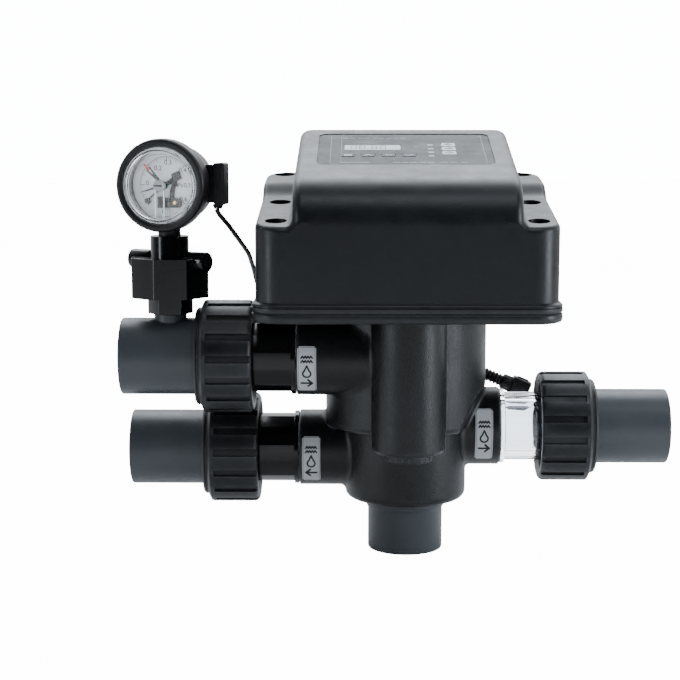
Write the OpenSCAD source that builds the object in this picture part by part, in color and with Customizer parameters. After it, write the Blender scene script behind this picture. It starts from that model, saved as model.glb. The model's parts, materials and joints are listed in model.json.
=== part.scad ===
// Automatic multiport filter valve: ceramic-disc valve body, gearmotor head,
// three pipe unions, a contact pressure gauge and its leads.
// Millimetres, +Z up, -Y is the front. The origin is the centre of the lower
// end of the riser socket.

/* [Pipe sockets] */
// Outside diameter of the grey pipe tails
tail_d = 62; // [60:0.5:64]
// Bore of each solvent-weld socket
socket_d = 50.2; // [50.1:0.1:50.4]
// Depth of each socket
socket_depth = 31; // [24:1:34]
// Bore of the water way past the sockets
way_d = 40; // [36:1:42]

/* [Ports] */
// Height of the inlet axis
inlet_z = 166; // [164:0.5:168]
// Inlet axis, distance in front of the valve axis
inlet_y = -32; // [-33:0.5:-31]
// Height of the outlet axis
outlet_z = 82.6; // [82:0.1:83]
// Outlet axis, distance behind the valve axis
outlet_y = 10; // [9:0.5:12]
// Height of the drain axis
drain_z = 100.8; // [100:0.1:102]
// Drain axis, distance behind the valve axis
drain_y = 12.4; // [11:0.1:14]

/* [Unions] */
// Outside diameter of a union nut
nut_d = 91; // [90:0.5:91]
// Length of a nut's barrel
nut_len = 40.3; // [40:0.1:41]
// Grip grooves around a nut
nut_grooves = 16; // [12:1:20]
// Free length from the nut's open mouth to the end of the pipe tail
tail_reach = 107; // [105:0.5:108]

/* [Valve body] */
// Radius of the disc chamber's outside
chamber_r = 66; // [65:0.5:66]
// Radius of the collar around the riser
collar_r = 50; // [49:0.5:51]
// Radius of the round column on the front
column_r = 29; // [28:0.5:31]

/* [Head] */
// Width of the head at its flange
head_w = 240; // [238:1:241]
// Depth of the head at its flange
head_d = 187; // [186:1:188]
// Plan radius of the head's corners
head_r = 22; // [18:1:24]
// Wall thickness of the cover
wall = 3; // [2.5:0.5:3]
// Slope of the display face
display_tilt = 13.45; // [13:0.05:14]

/* [Drive] */
// Teeth on the big gear
gear_teeth = 72; // [72]
// Teeth on the motor pinion
pinion_teeth = 12; // [12]
// Gear module
gear_module = 1.5; // [1.5]

/* [Gauge] */
// Radius of the gauge's rubber case
gauge_r = 36.8; // [36:0.2:37]
// Radius of the glass ring
bezel_r = 30; // [29.5:0.1:30.2]
// Turn of the gauge's face to the left
gauge_yaw = 13; // [11:0.5:15]

/* [Hidden] */

$fn = 72;
eps = 0.05;

tail_r = tail_d / 2;
socket_r = socket_d / 2;
way_r = way_d / 2;
port_way_r = 21;
nut_r = nut_d / 2;

// Heights up the valve axis
collar_z = 44;
sleeve_top = 62;
seat_z = 128;
gasket_t = 2;
disc_t = 8;
rotor_disc_z = 138.1;
rotor_seat_z = 148;
rotor_neck_z = 156;
washer_z = 197.1;
chamber_top = 201;
neck_top = 226;
gear_z = 233;
gear_t = 7;
bridge_z = 248;

// Ports: mouth X, axis Y, axis Z, direction, distance from mouth to nut
inlet = [-88.5, inlet_y, inlet_z, -1, 34.4];
outlet = [-88, outlet_y, outlet_z, -1, 33.3];
drain = [78, drain_y, drain_z, 1, 32.9];
inlet_port_r = 31;
outlet_port_r = 31.5;
drain_port_r = 32.4;
chamber_bore_r = 57;

// Flat over the drain port: a point on it, and the lean and turn of its normal
flat_at = [40.7, -52, 105];
flat_lean = 67;
flat_turn = 167;

// Blanked service port under the column
plug_x = 1;
plug_y = -58;
plug_z = 86;
column_z = 93;

// Vertical ways through the seat: centre X, centre Y, radius
seat_ways = [[0, 0, 11], [-32, 10, 11], [32, 12, 11], [0, 39, 6]];

// Head outline
head_x = -1.5;
head_front = -105;
head_back = head_front + head_d;
tray_z = 201;
tray_floor = 4;
seam_z = 209;
lip_z = 216;
face_front = head_front + 3;
face_back = head_back - 3;
shoulder_w = head_w - 6;
hump_w = 176;
hump_front_r = 38;
hump_front_z = 275;
display_y = -60;
display_z = 315;
screw_spots = [for (s = [-1, 1], p = [[-80, 262], [-12, 270], [64, 290]]) [head_x + s * 101, p[0], p[1]]];

// Display face: centre X, distance up the slope, width, height
panel_box = [0, 71.5, 142, 100];
lcd_box = [-26.4, 78.5, 46, 15.6];
key_spots = [[-46.4, 52.5], [-29.9, 52.5], [-13.4, 52.5], [3.1, 52.5]];
key_w = 11;
key_h = 8.4;
oval_spots = [[21.1, 84.9], [21.1, 73.5], [21.1, 62.1], [21.1, 50.7]];
bar_spots = [[36, 86.7], [36, 73.9], [36, 60.8]];
panel_sink = 1.4;
panel_t = 0.8;
board_z = -8;

// Drive train
gear_pitch_r = gear_module * gear_teeth / 2;
pinion_pitch_r = gear_module * pinion_teeth / 2;
motor_angle = -35;
motor_x = (gear_pitch_r + pinion_pitch_r) * cos(motor_angle);
motor_y = (gear_pitch_r + pinion_pitch_r) * sin(motor_angle);
post_z = tray_z + tray_floor;
bridge_posts = [[80, -14], [62, -66], [20, -80]];

// Gauge: axis of its stem and height of its centre
stem_x = -190.5;
stem_y = -32;
gauge_z = 304;
dial_z = 3;
pointer_z = 8;
low_z = 10.2;
high_z = 12;

// Leads
lead_d = 4;
lead_sides = 8;
pigtail_tilt = 23;
pigtail_at = [63.4, 45, 142];
signal_route = [
    [-152, -38, 285], [-150, -38, 281], [-147, -36, 277], [-143, -29, 271],
    [-139, -16, 263], [-135, 2, 254], [-131, 22, 244], [-130, 38, 236],
    [-129, 52, 228], [-128, 64, 219], [-126, 76, 210], [-121, 88, 203],
    [-114, 99, 200], [-105, 108, 201], [-96, 114, 206], [-88, 116, 214],
    [-83, 115, 223], [-80, 110, 230], [-80, 103, 233], [-80, 96, 233]
];
pigtail_route = [
    [41, 70, 187], [41, 70, 181], [41, 69, 174], [42, 66, 166],
    [44, 62, 158], [48, 57, 152], [53, 51, 147], [58, 47, 144],
    [63.4, 45, 142]
];

// ---------------------------------------------------------------- helpers

function arc(cx, cy, r, a0, a1, n = 8) =
    [for (i = [0:n]) [cx + r * cos(a0 + (a1 - a0) * i / n), cy + r * sin(a0 + (a1 - a0) * i / n)]];

function involute(base, r) = let(a = acos(base / r)) tan(a) * 180 / PI - a;

function half_tooth(n, pitch, r) =
    let(base = pitch * cos(20))
    90 / n * 0.94 + involute(base, pitch) - involute(base, max(r, base));

function gear_outline(n, m, up, down) =
    let(pitch = n * m / 2, base = pitch * cos(20), root = pitch - down * m, tip = pitch + up * m,
        radii = [root, max(base, root), (max(base, root) + pitch) / 2, pitch, (pitch + tip) / 2, tip])
    [for (i = [0:n - 1], s = [-1, 1], k = [0:5])
        let(r = radii[s < 0 ? k : 5 - k], a = i * 360 / n + s * half_tooth(n, pitch, r))
        [r * cos(a), r * sin(a)]];

// A rod along +X
module rod_x(x0, x1, r) {
    translate([x0, 0, 0]) rotate([0, 90, 0]) cylinder(r = r, h = x1 - x0);
}

module tube(r_out, r_in, z0, z1) {
    difference() {
        translate([0, 0, z0]) cylinder(r = r_out, h = z1 - z0);
        translate([0, 0, z0 - 1]) cylinder(r = r_in, h = z1 - z0 + 2);
    }
}

// Block centred in X and Y, standing on z0
module block(x, y, z0, z1) {
    translate([-x / 2, -y / 2, z0]) cube([x, y, z1 - z0]);
}

// Plate with round corners, lower-left corner at (x0, y0)
module round_plate(x0, y0, w, d, r, z0, z1) {
    translate([x0 + r, y0, z0]) cube([w - 2 * r, d, z1 - z0]);
    translate([x0, y0 + r, z0]) cube([w, d - 2 * r, z1 - z0]);
    for (x = [x0 + r, x0 + w - r], y = [y0 + r, y0 + d - r])
        translate([x, y, z0]) cylinder(r = r, h = z1 - z0);
}

// Children in a port's frame: +X out of the mouth, origin at the mouth
module at_port(port) {
    translate([port[0], port[1], port[2]])
        if (port[3] < 0) mirror([1, 0, 0]) children();
        else children();
}

// Children in a union's frame: +X outwards, origin at the nut's open mouth
module at_union(port) {
    at_port(port) translate([port[4], 0, 0]) children();
}

// Children in the frame of the sloping display face: +Y up the slope, +Z out
module on_display() {
    translate([head_x, display_y, display_z]) rotate([display_tilt, 0, 0]) children();
}

// Children in the gauge's frame: +Y up the dial, +Z out of its face
module on_gauge() {
    translate([stem_x, stem_y, gauge_z]) rotate([0, 0, -gauge_yaw]) rotate([90, 0, 0]) children();
}

// Tube swept along a route, one ring of corners at each point
function unit(v) = v / norm(v);
function heading(p, i) =
    unit(p[min(i + 1, len(p) - 1)] - p[max(i - 1, 0)]);
function ring(p, i, r, n) =
    let(t = heading(p, i), side = unit(cross(t, [0.31, 0.22, 0.05] + [0, 0, abs(t[2]) < 0.6 ? 1 : 0])),
        up = cross(side, t))
    [for (k = [0:n - 1]) p[i] + r * (side * cos(k * 360 / n) + up * sin(k * 360 / n))];

module swept_tube(p, d, n) {
    last = (len(p) - 1) * n;
    polyhedron(
        points = [for (i = [0:len(p) - 1]) each ring(p, i, d / 2, n)],
        faces = concat(
            [[for (k = [0:n - 1]) k]],
            [[for (k = [0:n - 1]) last + n - 1 - k]],
            [for (i = [0:len(p) - 2], k = [0:n - 1])
                let(a = i * n + k, b = i * n + (k + 1) % n) [a, a + n, b + n]],
            [for (i = [0:len(p) - 2], k = [0:n - 1])
                let(a = i * n + k, b = i * n + (k + 1) % n) [a, b + n, b]]));
}

// Catmull-Rom point on the stretch from p[i] to p[i + 1]
function spline(p, i, t) =
    let(a = p[max(i - 1, 0)], b = p[i], c = p[i + 1], d = p[min(i + 2, len(p) - 1)])
    0.5 * (2 * b + (c - a) * t + (2 * a - 5 * b + 4 * c - d) * t * t + (3 * b - a - 3 * c + d) * t * t * t);
function smooth(p, n) =
    concat([for (i = [0:len(p) - 2], k = [0:n - 1]) spline(p, i, k / n)], [p[len(p) - 1]]);

// -------------------------------------------------------------- valve body

module body_outline() {
    rotate_extrude()
        polygon(concat(
            [[0, collar_z], [collar_r - 7, collar_z]],
            arc(collar_r - 7, collar_z + 7, 7, -90, 0),
            [[collar_r, 103], [collar_r + 2, 105], [chamber_r - 7, 105]],
            arc(chamber_r - 7, 112, 7, -90, 0),
            [[chamber_r, chamber_top], [62, chamber_top], [62, neck_top], [0, neck_top]]));
}

// Wedge below the flat, no lower than the chamber's floor
module drain_flat() {
    intersection() {
        translate(flat_at) rotate([0, flat_lean, flat_turn])
            translate([-60, -120, -60]) cube([120, 240, 60]);
        translate([20, -80, flat_at[2]]) cube([60, 160, 60]);
    }
}

module port_stub(port, inner_x, r) {
    translate([0, port[1], port[2]])
        if (port[3] < 0) rod_x(port[0], inner_x, r);
        else rod_x(inner_x, port[0], r);
}

// Water way of a port: main bore plus the wider socket for its adaptor
module port_bore(port, inner_x) {
    port_stub(port, inner_x, port_way_r);
    at_port(port) rod_x(-20, 1, 24);
}

module valve_body() {
    color([0.09, 0.09, 0.1])
    difference() {
        union() {
            difference() {
                body_outline();
                drain_flat();
            }
            translate([plug_x, plug_y, column_z]) cylinder(r = column_r, h = chamber_top - column_z);
            port_stub(inlet, -18, inlet_port_r);
            port_stub(outlet, -10, outlet_port_r);
            port_stub(drain, 10, drain_port_r);
        }
        // Disc chamber
        translate([0, 0, seat_z]) cylinder(r = chamber_bore_r, h = neck_top - seat_z + 1);
        port_bore(inlet, -22);
        port_bore(outlet, -16);
        port_bore(drain, 16);
        // Ways down from the seat
        translate([0, 0, sleeve_top - 1]) cylinder(r = 11, h = seat_z - sleeve_top + 2);
        translate([-32, 10, outlet_z]) cylinder(r = 11, h = seat_z - outlet_z + 1);
        translate([32, 12, drain_z]) cylinder(r = 11, h = seat_z - drain_z + 1);
        translate([0, 39, 57]) cylinder(r = 6, h = seat_z - 56);
        // Socket for the riser and the ring-shaped tank way around its sleeve
        translate([0, 0, collar_z - 1]) cylinder(r = tail_r + 0.15, h = sleeve_top - collar_z + 1);
        tube(40, 35, collar_z - 1, 58);
        // Service port under the column, and room for its plug's head
        translate([plug_x, plug_y, column_z - 1]) cylinder(r = 14, h = 18);
        translate([plug_x, plug_y, plug_z - 0.1]) cylinder(r = 19.8, h = column_z - plug_z + 0.1);
    }
}

module column_plug() {
    color([0.1, 0.1, 0.11])
    difference() {
        union() {
            translate([plug_x, plug_y, plug_z]) cylinder(r = 19.5, h = column_z - plug_z);
            translate([plug_x, plug_y, column_z - eps]) cylinder(r = 13.9, h = 14);
        }
        translate([plug_x, plug_y, plug_z - 3]) cylinder(r = 9, h = 7, $fn = 6);
    }
}

module riser_socket() {
    color([0.36, 0.38, 0.4])
    difference() {
        union() {
            cylinder(r = tail_r, h = 60);
            translate([0, 0, 36]) cylinder(r = tail_r + 1.2, h = 7);
        }
        translate([0, 0, -1]) cylinder(r = socket_r, h = socket_depth + 1);
        translate([0, 0, socket_depth - eps]) cylinder(r = way_r, h = 60);
    }
}

module riser_seal() {
    color([0.12, 0.12, 0.12]) tube(30.6, 21, 60, sleeve_top);
}

// ------------------------------------------------------- disc valve inside

module seat_holes(z0, h) {
    for (w = seat_ways)
        translate([w[0], w[1], z0]) cylinder(r = w[2], h = h);
}

module disc_gasket() {
    color([0.15, 0.15, 0.15])
    difference() {
        translate([0, 0, seat_z]) cylinder(r = 56.8, h = gasket_t);
        seat_holes(seat_z - 1, gasket_t + 2);
    }
}

module fixed_disc() {
    color([0.88, 0.86, 0.8])
    difference() {
        translate([0, 0, seat_z + gasket_t]) cylinder(r = 56.5, h = disc_t);
        seat_holes(seat_z, gasket_t + disc_t + 2);
    }
}

module drive_pins(r) {
    for (x = [-40, 40])
        translate([x, -18, 143.9]) cylinder(r = r, h = rotor_seat_z - 143.9 + eps);
}

module moving_disc() {
    color([0.93, 0.91, 0.86])
    difference() {
        translate([0, 0, rotor_disc_z]) cylinder(r = 50, h = rotor_seat_z - rotor_disc_z);
        translate([0, 36, rotor_disc_z - 1]) cylinder(r = 10, h = 12);
        // Blind pocket that joins the riser way to the outlet way
        translate([0, 0, rotor_disc_z - 1]) cylinder(r = 11, h = 7);
        translate([-32, 10, rotor_disc_z - 1]) cylinder(r = 11, h = 7);
        translate([-16, 5, rotor_disc_z - 1]) rotate([0, 0, -17.35]) block(33.5, 20, 0, 7);
        drive_pins(3.1);
    }
}

module rotor() {
    color([0.85, 0.84, 0.8])
    difference() {
        union() {
            translate([0, 0, rotor_seat_z]) cylinder(r = 50, h = rotor_neck_z - rotor_seat_z);
            translate([0, 0, rotor_neck_z - eps]) cylinder(r = 24, h = washer_z - 0.1 - rotor_neck_z + eps);
            translate([0, 0, washer_z - 1]) cylinder(r = 14, h = gear_z - washer_z + 1);
            block(16, 16, gear_z - 1, gear_z + gear_t + 3);
            drive_pins(3);
        }
        translate([0, 36, rotor_seat_z - 1]) cylinder(r = 10, h = 12);
        translate([0, 0, 226]) cylinder(r = 2.1, h = 20);
    }
}

module thrust_washer() {
    color([0.8, 0.8, 0.78]) tube(23, 14.4, washer_z, 200);
}

module shaft_seal() {
    color([0.1, 0.1, 0.1]) tube(17, 14.05, 206, 210);
}

module bonnet_nut() {
    color([0.13, 0.13, 0.14])
    difference() {
        union() {
            translate([0, 0, 200]) cylinder(r = 56.7, h = neck_top - 200);
            translate([0, 0, neck_top]) cylinder(r = 62, h = 4);
        }
        translate([0, 0, 199]) cylinder(r = 14.05, h = 40);
        translate([0, 0, 206]) cylinder(r = 17, h = 4);
        tube(60, 53.5, 212, 216);
        // Spanner slots in the rim
        for (a = [0:45:315])
            rotate([0, 0, a]) translate([56, -4, 228]) cube([8, 8, 4]);
        // Weight-saving ring above
        tube(50, 24, 220, 232);
    }
}

module bonnet_seal() {
    color([0.1, 0.1, 0.1]) tube(56.9, 53.6, 212.1, 215.9);
}

// ------------------------------------------------------------------- drive

module drive_gear() {
    color([0.9, 0.9, 0.86])
    difference() {
        union() {
            translate([0, 0, gear_z])
                linear_extrude(height = gear_t)
                    rotate(motor_angle) polygon(gear_outline(gear_teeth, gear_module, 0.85, 1.15));
            translate([0, 0, gear_z + gear_t - eps]) cylinder(r = 14, h = 3);
        }
        block(16.2, 16.2, gear_z - 1, gear_z + gear_t + 4);
        for (a = [0:60:300])
            rotate([0, 0, a + 20]) translate([32, 0, gear_z - 1]) cylinder(r = 9, h = gear_t + 2);
        magnet_spots(2.55, gear_z + 4, 4);
    }
}

module magnet_spots(r, z, h) {
    for (a = [170, 195])
        rotate([0, 0, a]) translate([47, 0, z]) cylinder(r = r, h = h);
}

module position_magnets() {
    color([0.7, 0.7, 0.72]) magnet_spots(2.5, gear_z + 4, 3);
}

module gear_screw() {
    color([0.75, 0.75, 0.76])
    difference() {
        union() {
            translate([0, 0, 229]) cylinder(r = 2.05, h = 15);
            translate([0, 0, gear_z + gear_t + 3]) cylinder(r = 12, h = 1.5);
            translate([0, 0, gear_z + gear_t + 4]) cylinder(r = 4.5, h = 2.6);
        }
        translate([0, 0, gear_z + gear_t + 5]) cylinder(r = 2.3, h = 3, $fn = 6);
    }
}

module at_motor() {
    translate([motor_x, motor_y, 0]) children();
}

module drive_pinion() {
    color([0.72, 0.7, 0.6])
    at_motor() {
        translate([0, 0, gear_z])
            linear_extrude(height = gear_t + 1)
                rotate(motor_angle + 180 + 180 / pinion_teeth)
                    polygon(gear_outline(pinion_teeth, gear_module, 0.85, 1.15));
        translate([0, 0, gear_z + gear_t]) cylinder(r = 5, h = 4);
        translate([0, 0, gear_z + gear_t + 2]) cylinder(r = 3, h = 14);
    }
}

module gearmotor() {
    color([0.62, 0.63, 0.65])
    at_motor()
    difference() {
        union() {
            translate([0, 0, bridge_z + 3]) cylinder(r = 18.5, h = 21);
            translate([0, 0, bridge_z + 24 - eps]) cylinder(r = 14, h = 25);
            translate([0, 0, bridge_z + 49 - 2 * eps]) cylinder(r = 5, h = 2);
            for (s = [-1, 1])
                translate([s * 8, 0, bridge_z + 48]) block(3, 1, 0, 6);
        }
        translate([0, 0, bridge_z + 2]) cylinder(r = 3.05, h = 10);
        for (a = [0, 180])
            rotate([0, 0, a]) translate([14, 0, bridge_z + 2]) cylinder(r = 1.6, h = 8);
    }
}

module motor_bracket() {
    color([0.7, 0.71, 0.73])
    difference() {
        union() {
            for (p = bridge_posts) {
                translate([p[0], p[1], post_z]) cylinder(r = 5, h = bridge_z - post_z + eps);
                translate([p[0], p[1], bridge_z]) cylinder(r = 8, h = 3);
            }
            translate([14, -86, bridge_z]) cube([56, 30, 3]);
            translate([46, -60, bridge_z]) cube([40, 50, 3]);
            at_motor() translate([0, 0, bridge_z]) cylinder(r = 18.5, h = 3);
        }
        at_motor() {
            translate([0, 0, bridge_z - 1]) cylinder(r = 5.2, h = 5);
            for (a = [0, 180])
                rotate([0, 0, a]) translate([14, 0, bridge_z - 1]) cylinder(r = 1.7, h = 5);
        }
    }
}

module motor_screws() {
    color([0.75, 0.75, 0.77])
    at_motor()
        for (a = [0, 180])
            rotate([0, 0, a]) translate([14, 0, 0]) {
                translate([0, 0, bridge_z - 2]) cylinder(r = 2.9, h = 2);
                translate([0, 0, bridge_z - 1]) cylinder(r = 1.5, h = 9);
            }
}

module position_board() {
    color([0.1, 0.35, 0.2])
    union() {
        translate([-80, -36, bridge_z]) cube([40, 72, 1.6]);
        for (y = [-30, 30])
            translate([-74, y, post_z]) cylinder(r = 3.5, h = bridge_z - post_z + eps);
        for (y = [-14, 0, 14])
            translate([-52, y - 3, bridge_z - 2]) cube([4, 6, 2 + eps]);
        translate([-74, -8, bridge_z + 1.6 - eps]) cube([8, 16, 6]);
    }
}

// -------------------------------------------------------------------- head

module head_slab(inset, z0, z1) {
    round_plate(head_x - head_w / 2 + inset, head_front + inset,
        head_w - 2 * inset, head_d - 2 * inset, head_r - inset / 2, z0, z1);
}

module head_tray() {
    color([0.09, 0.09, 0.1])
    difference() {
        union() {
            difference() {
                head_slab(0, tray_z, seam_z - 0.6);
                head_slab(4, tray_z + tray_floor, seam_z + 1);
            }
            for (s = screw_spots)
                translate([s[0], s[1], tray_z + 1]) cylinder(r = 7, h = seam_z - tray_z - 1.6);
            translate([41, 70, 192]) cylinder(r = 7, h = 10);
            translate([41, 70, 187]) cylinder(r1 = 3.4, r2 = 5, h = 5 + eps);
        }
        translate([0, 0, tray_z - 1]) cylinder(r = 62.2, h = 10);
        for (s = screw_spots)
            translate([s[0], s[1], tray_z + 2]) cylinder(r = 2.3, h = 10);
        translate([41, 70, 186]) cylinder(r = 2.1, h = 25);
    }
}

module head_gasket() {
    color([0.03, 0.03, 0.03])
    difference() {
        head_slab(0.8, seam_z - 0.6, seam_z);
        head_slab(3.4, seam_z - 1, seam_z + 1);
    }
}

// Side outlines in the YZ plane, moved in by t
function shoulder_line(t) = [
    [face_front + t, seam_z - t], [face_front + t, 272 - t / 2], [face_front + 4 + t * 0.7, 275.6 - t],
    [8 + t * 0.2, 292.3 - t], [27 + t * 0.2, 304 - t], [face_back - t, 310.5 - t],
    [face_back - t, seam_z - t]];

function hump_line(t) =
    let(rise = tan(display_tilt), cy = face_front + hump_front_r,
        top = display_z + (face_back - display_y) * rise, sink = t / cos(display_tilt), b = 7 - t)
    concat(
        [[face_front + t, seam_z - t]],
        arc(cy, hump_front_z, hump_front_r - t, 180, 90 + display_tilt, 10),
        [[face_back - 7, top - 7 * rise - sink]],
        arc(face_back - 7, top - 7 * rise - sink - b, b, 90, 0, 4),
        [[face_back - t, seam_z - t]]);

module side_extrude(points, x0, x1) {
    translate([x0, 0, 0]) rotate([90, 0, 90]) linear_extrude(height = x1 - x0) polygon(points);
}

module cover_solid(t) {
    intersection() {
        side_extrude(shoulder_line(t), head_x - shoulder_w / 2 + t, head_x + shoulder_w / 2 - t);
        head_slab(3 + t, 200, 400);
    }
    intersection() {
        side_extrude(hump_line(t), head_x - hump_w / 2 + t, head_x + hump_w / 2 - t);
        round_plate(head_x - hump_w / 2 + t, face_front + t, hump_w - 2 * t,
            face_back - face_front - 2 * t, 12 - t, 200, 400);
    }
}

module head_cover() {
    color([0.1, 0.1, 0.11])
    difference() {
        union() {
            difference() {
                union() {
                    cover_solid(0);
                    head_slab(0, seam_z, lip_z);
                }
                cover_solid(wall);
                head_slab(3 + wall, seam_z - 2, lip_z - 3);
            }
            intersection() {
                for (s = screw_spots)
                    translate([s[0], s[1], seam_z]) cylinder(r = 11.4, h = 150);
                cover_solid(wall / 2);
            }
            on_display()
                for (x = [-58, 58], y = [24, 116])
                    translate([x, y, board_z + 1.6]) cylinder(r = 3.2, h = -board_z - 4);
            // Lead glands on the back wall
            for (x = [-80, 70])
                translate([x, face_back - eps, 233]) rotate([-90, 0, 0]) {
                    cylinder(r = 8, h = 5 + eps, $fn = 6);
                    cylinder(r = 6.2, h = 11);
                    translate([0, 0, 11 - eps]) cylinder(r1 = 6.2, r2 = 3.2, h = 6);
                }
        }
        for (s = screw_spots) {
            translate([s[0], s[1], s[2] - 6]) cylinder(r = 8.6, h = 60);
            translate([s[0], s[1], seam_z - 1]) cylinder(r = 2.8, h = s[2] - seam_z);
        }
        on_display() {
            translate([panel_box[0], panel_box[1], 0])
                round_plate(-panel_box[2] / 2, -panel_box[3] / 2, panel_box[2], panel_box[3], 8, -panel_sink, 5);
            display_openings(0.5, -10, 10);
        }
        for (x = [-80, 70])
            translate([x, face_back - 10, 233]) rotate([-90, 0, 0]) cylinder(r = 2.1, h = 40);
    }
}

// Openings for the screen, keys and lamps, each grown by g all round
module display_openings(g, z0, z1) {
    translate([lcd_box[0], lcd_box[1], 0]) block(lcd_box[2] + 2 * g, lcd_box[3] + 2 * g, z0, z1);
    for (k = key_spots)
        translate([k[0], k[1], 0]) block(key_w + 2 * g, key_h + 2 * g, z0, z1);
    for (s = oval_spots)
        translate([s[0], s[1], 0]) oval(5.4, 3.4, g, z0, z1);
    for (s = bar_spots)
        translate([s[0], s[1], 0]) block(11.6 + 2 * g, 10.2 + 2 * g, z0, z1);
}

module oval(w, h, g, z0, z1) {
    block(w - h, h + 2 * g, z0, z1);
    for (s = [-1, 1])
        translate([s * (w - h) / 2, 0, z0]) cylinder(r = h / 2 + g, h = z1 - z0);
}

module cover_screws() {
    color([0.55, 0.55, 0.57])
    for (s = screw_spots)
        translate([s[0], s[1], 0])
            difference() {
                union() {
                    translate([0, 0, s[2] - 6]) cylinder(r = 5, h = 4);
                    translate([0, 0, tray_z + 2.5]) cylinder(r = 2.25, h = s[2] - tray_z - 8);
                }
                translate([0, 0, s[2] - 4.5]) cylinder(r = 2.4, h = 4, $fn = 6);
            }
}

module display_panel() {
    color([0.42, 0.44, 0.47])
    on_display()
    difference() {
        translate([panel_box[0], panel_box[1], 0])
            round_plate(-panel_box[2] / 2 + 0.3, -panel_box[3] / 2 + 0.3, panel_box[2] - 0.6,
                panel_box[3] - 0.6, 7.7, -panel_sink, -panel_sink + panel_t);
        display_openings(0.35, -10, 10);
    }
}

module lcd_module() {
    color([0.8, 0.84, 0.88])
    on_display()
        translate([lcd_box[0], lcd_box[1], 0]) {
            block(lcd_box[2], lcd_box[3], -3.2, -0.9);
            block(lcd_box[2] + 4, lcd_box[3] + 6, board_z + 1.6, -3.15);
        }
}

module status_lamps() {
    color([0.92, 0.94, 0.96])
    on_display() {
        for (s = oval_spots)
            translate([s[0], s[1], 0]) oval(5.4, 3.4, 0, board_z + 1.6, -0.5);
        for (s = bar_spots)
            translate([s[0], s[1], 0]) block(11.6, 10.2, board_z + 1.6, -0.5);
    }
}

module control_board() {
    color([0.08, 0.32, 0.18])
    on_display()
    union() {
        translate([-66, 20, board_z]) cube([132, 100, 1.6]);
        translate([-50, 30, board_z - 9]) cube([26, 14, 9 + eps]);
        translate([20, 84, board_z - 12]) cube([30, 24, 12 + eps]);
        for (x = [-10, 4])
            translate([x, 96, board_z - 12]) cylinder(r = 5, h = 12 + eps);
        translate([-48, 84, board_z - 3]) cube([18, 18, 3 + eps]);
    }
}

module key_switches() {
    color([0.2, 0.2, 0.2])
    on_display()
        for (k = key_spots)
            translate([k[0], k[1], 0]) {
                block(6, 6, board_z + 1.6, -5.6);
                translate([0, 0, -5.6 - eps]) cylinder(r = 1.6, h = 0.35);
            }
}

module key_cap(i) {
    color([0.5, 0.52, 0.55])
    on_display()
        translate([key_spots[i][0], key_spots[i][1], 0]) {
            block(key_w, key_h, -4.2, -0.2);
            block(key_w + 2.4, key_h + 1.6, -4.6, -3.6);
        }
}

module key_menu() { key_cap(0); }
module key_up() { key_cap(1); }
module key_down() { key_cap(2); }
module key_set() { key_cap(3); }

// ------------------------------------------------------------------ unions

// Adaptor between a port and its nut: free length is the port's own reach
module adaptor(port, rim_r) {
    at_port(port)
    difference() {
        union() {
            rod_x(-19.5, 0.6, 23.8);
            rod_x(0.5, 4.2, rim_r);
            translate([4, 0, 0]) rotate([0, 90, 0]) rotate(15) cylinder(r = 28.6, h = port[4] + 9, $fn = 12);
            rod_x(port[4] + 12, port[4] + 30, 36.3);
        }
        rod_x(-25, port[4] + 40, way_r);
    }
}

module inlet_adaptor() { color([0.06, 0.06, 0.07]) adaptor(inlet, 30.6); }
module outlet_adaptor() { color([0.06, 0.06, 0.07]) adaptor(outlet, 30.6); }
module sight_tube() { color([0.85, 0.9, 0.95, 0.5]) adaptor(drain, 31); }

module union_seals() {
    color([0.1, 0.1, 0.1])
    for (p = [inlet, outlet, drain])
        at_union(p)
            difference() {
                rod_x(30, 32, 30);
                rod_x(29, 33, 22);
            }
}

module union_tail(port) {
    at_union(port)
    difference() {
        union() {
            rod_x(32, 37, 36);
            rod_x(36.9, tail_reach, tail_r);
        }
        rod_x(31, tail_reach, way_r);
        rod_x(tail_reach - socket_depth, tail_reach + 1, socket_r);
    }
}

module inlet_tail() {
    color([0.36, 0.38, 0.4])
    difference() {
        union() {
            union_tail(inlet);
            translate([stem_x, stem_y, inlet_z + socket_r + 1]) cylinder(r = 13, h = 8.9);
        }
        translate([stem_x, stem_y, inlet_z]) cylinder(r = 8.1, h = 50);
    }
}

module outlet_tail() { color([0.36, 0.38, 0.4]) union_tail(outlet); }
module drain_tail() { color([0.36, 0.38, 0.4]) union_tail(drain); }

// Nut profile: distance along the axis, radius
module nut_solid() {
    rotate([0, 90, 0])
        rotate_extrude()
            polygon(concat(
                [[38.5, 0], [nut_r - 4, 0]],
                arc(nut_r - 4, 4, 4, -90, 0, 5),
                [[nut_r, nut_len - 1], [nut_r - 1, nut_len], [41.4, nut_len + 1.6], [39.4, nut_len + 1.6],
                 [39.4, nut_len + 4.6], [38.2, nut_len + 6], [tail_r + 0.6, nut_len + 6],
                 [tail_r + 0.6, 37.3], [36.8, 37.3], [36.8, 4], [38.5, 2.4]]));
}

module union_nut() {
    difference() {
        nut_solid();
        for (i = [0:nut_grooves - 1])
            rotate([i * 360 / nut_grooves + 5, 0, 0])
                translate([-1, -3, nut_r - 1.7]) cube([nut_len - 3, 6, 5]);
    }
}

module inlet_nut() { color([0.12, 0.13, 0.14]) at_union(inlet) union_nut(); }
module outlet_nut() { color([0.12, 0.13, 0.14]) at_union(outlet) union_nut(); }
module drain_nut() { color([0.12, 0.13, 0.14]) at_union(drain) union_nut(); }

// Sticker wrapped on a port from angle a0 to a1 above the front
module port_label(port, r, x0, x1, a0, a1) {
    translate([x0, port[1], port[2]])
        rotate([0, 90, 0]) rotate([0, 0, -90 - a1])
            rotate_extrude(angle = a1 - a0)
                translate([r + 0.02, 0]) square([0.3, x1 - x0]);
}

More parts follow.
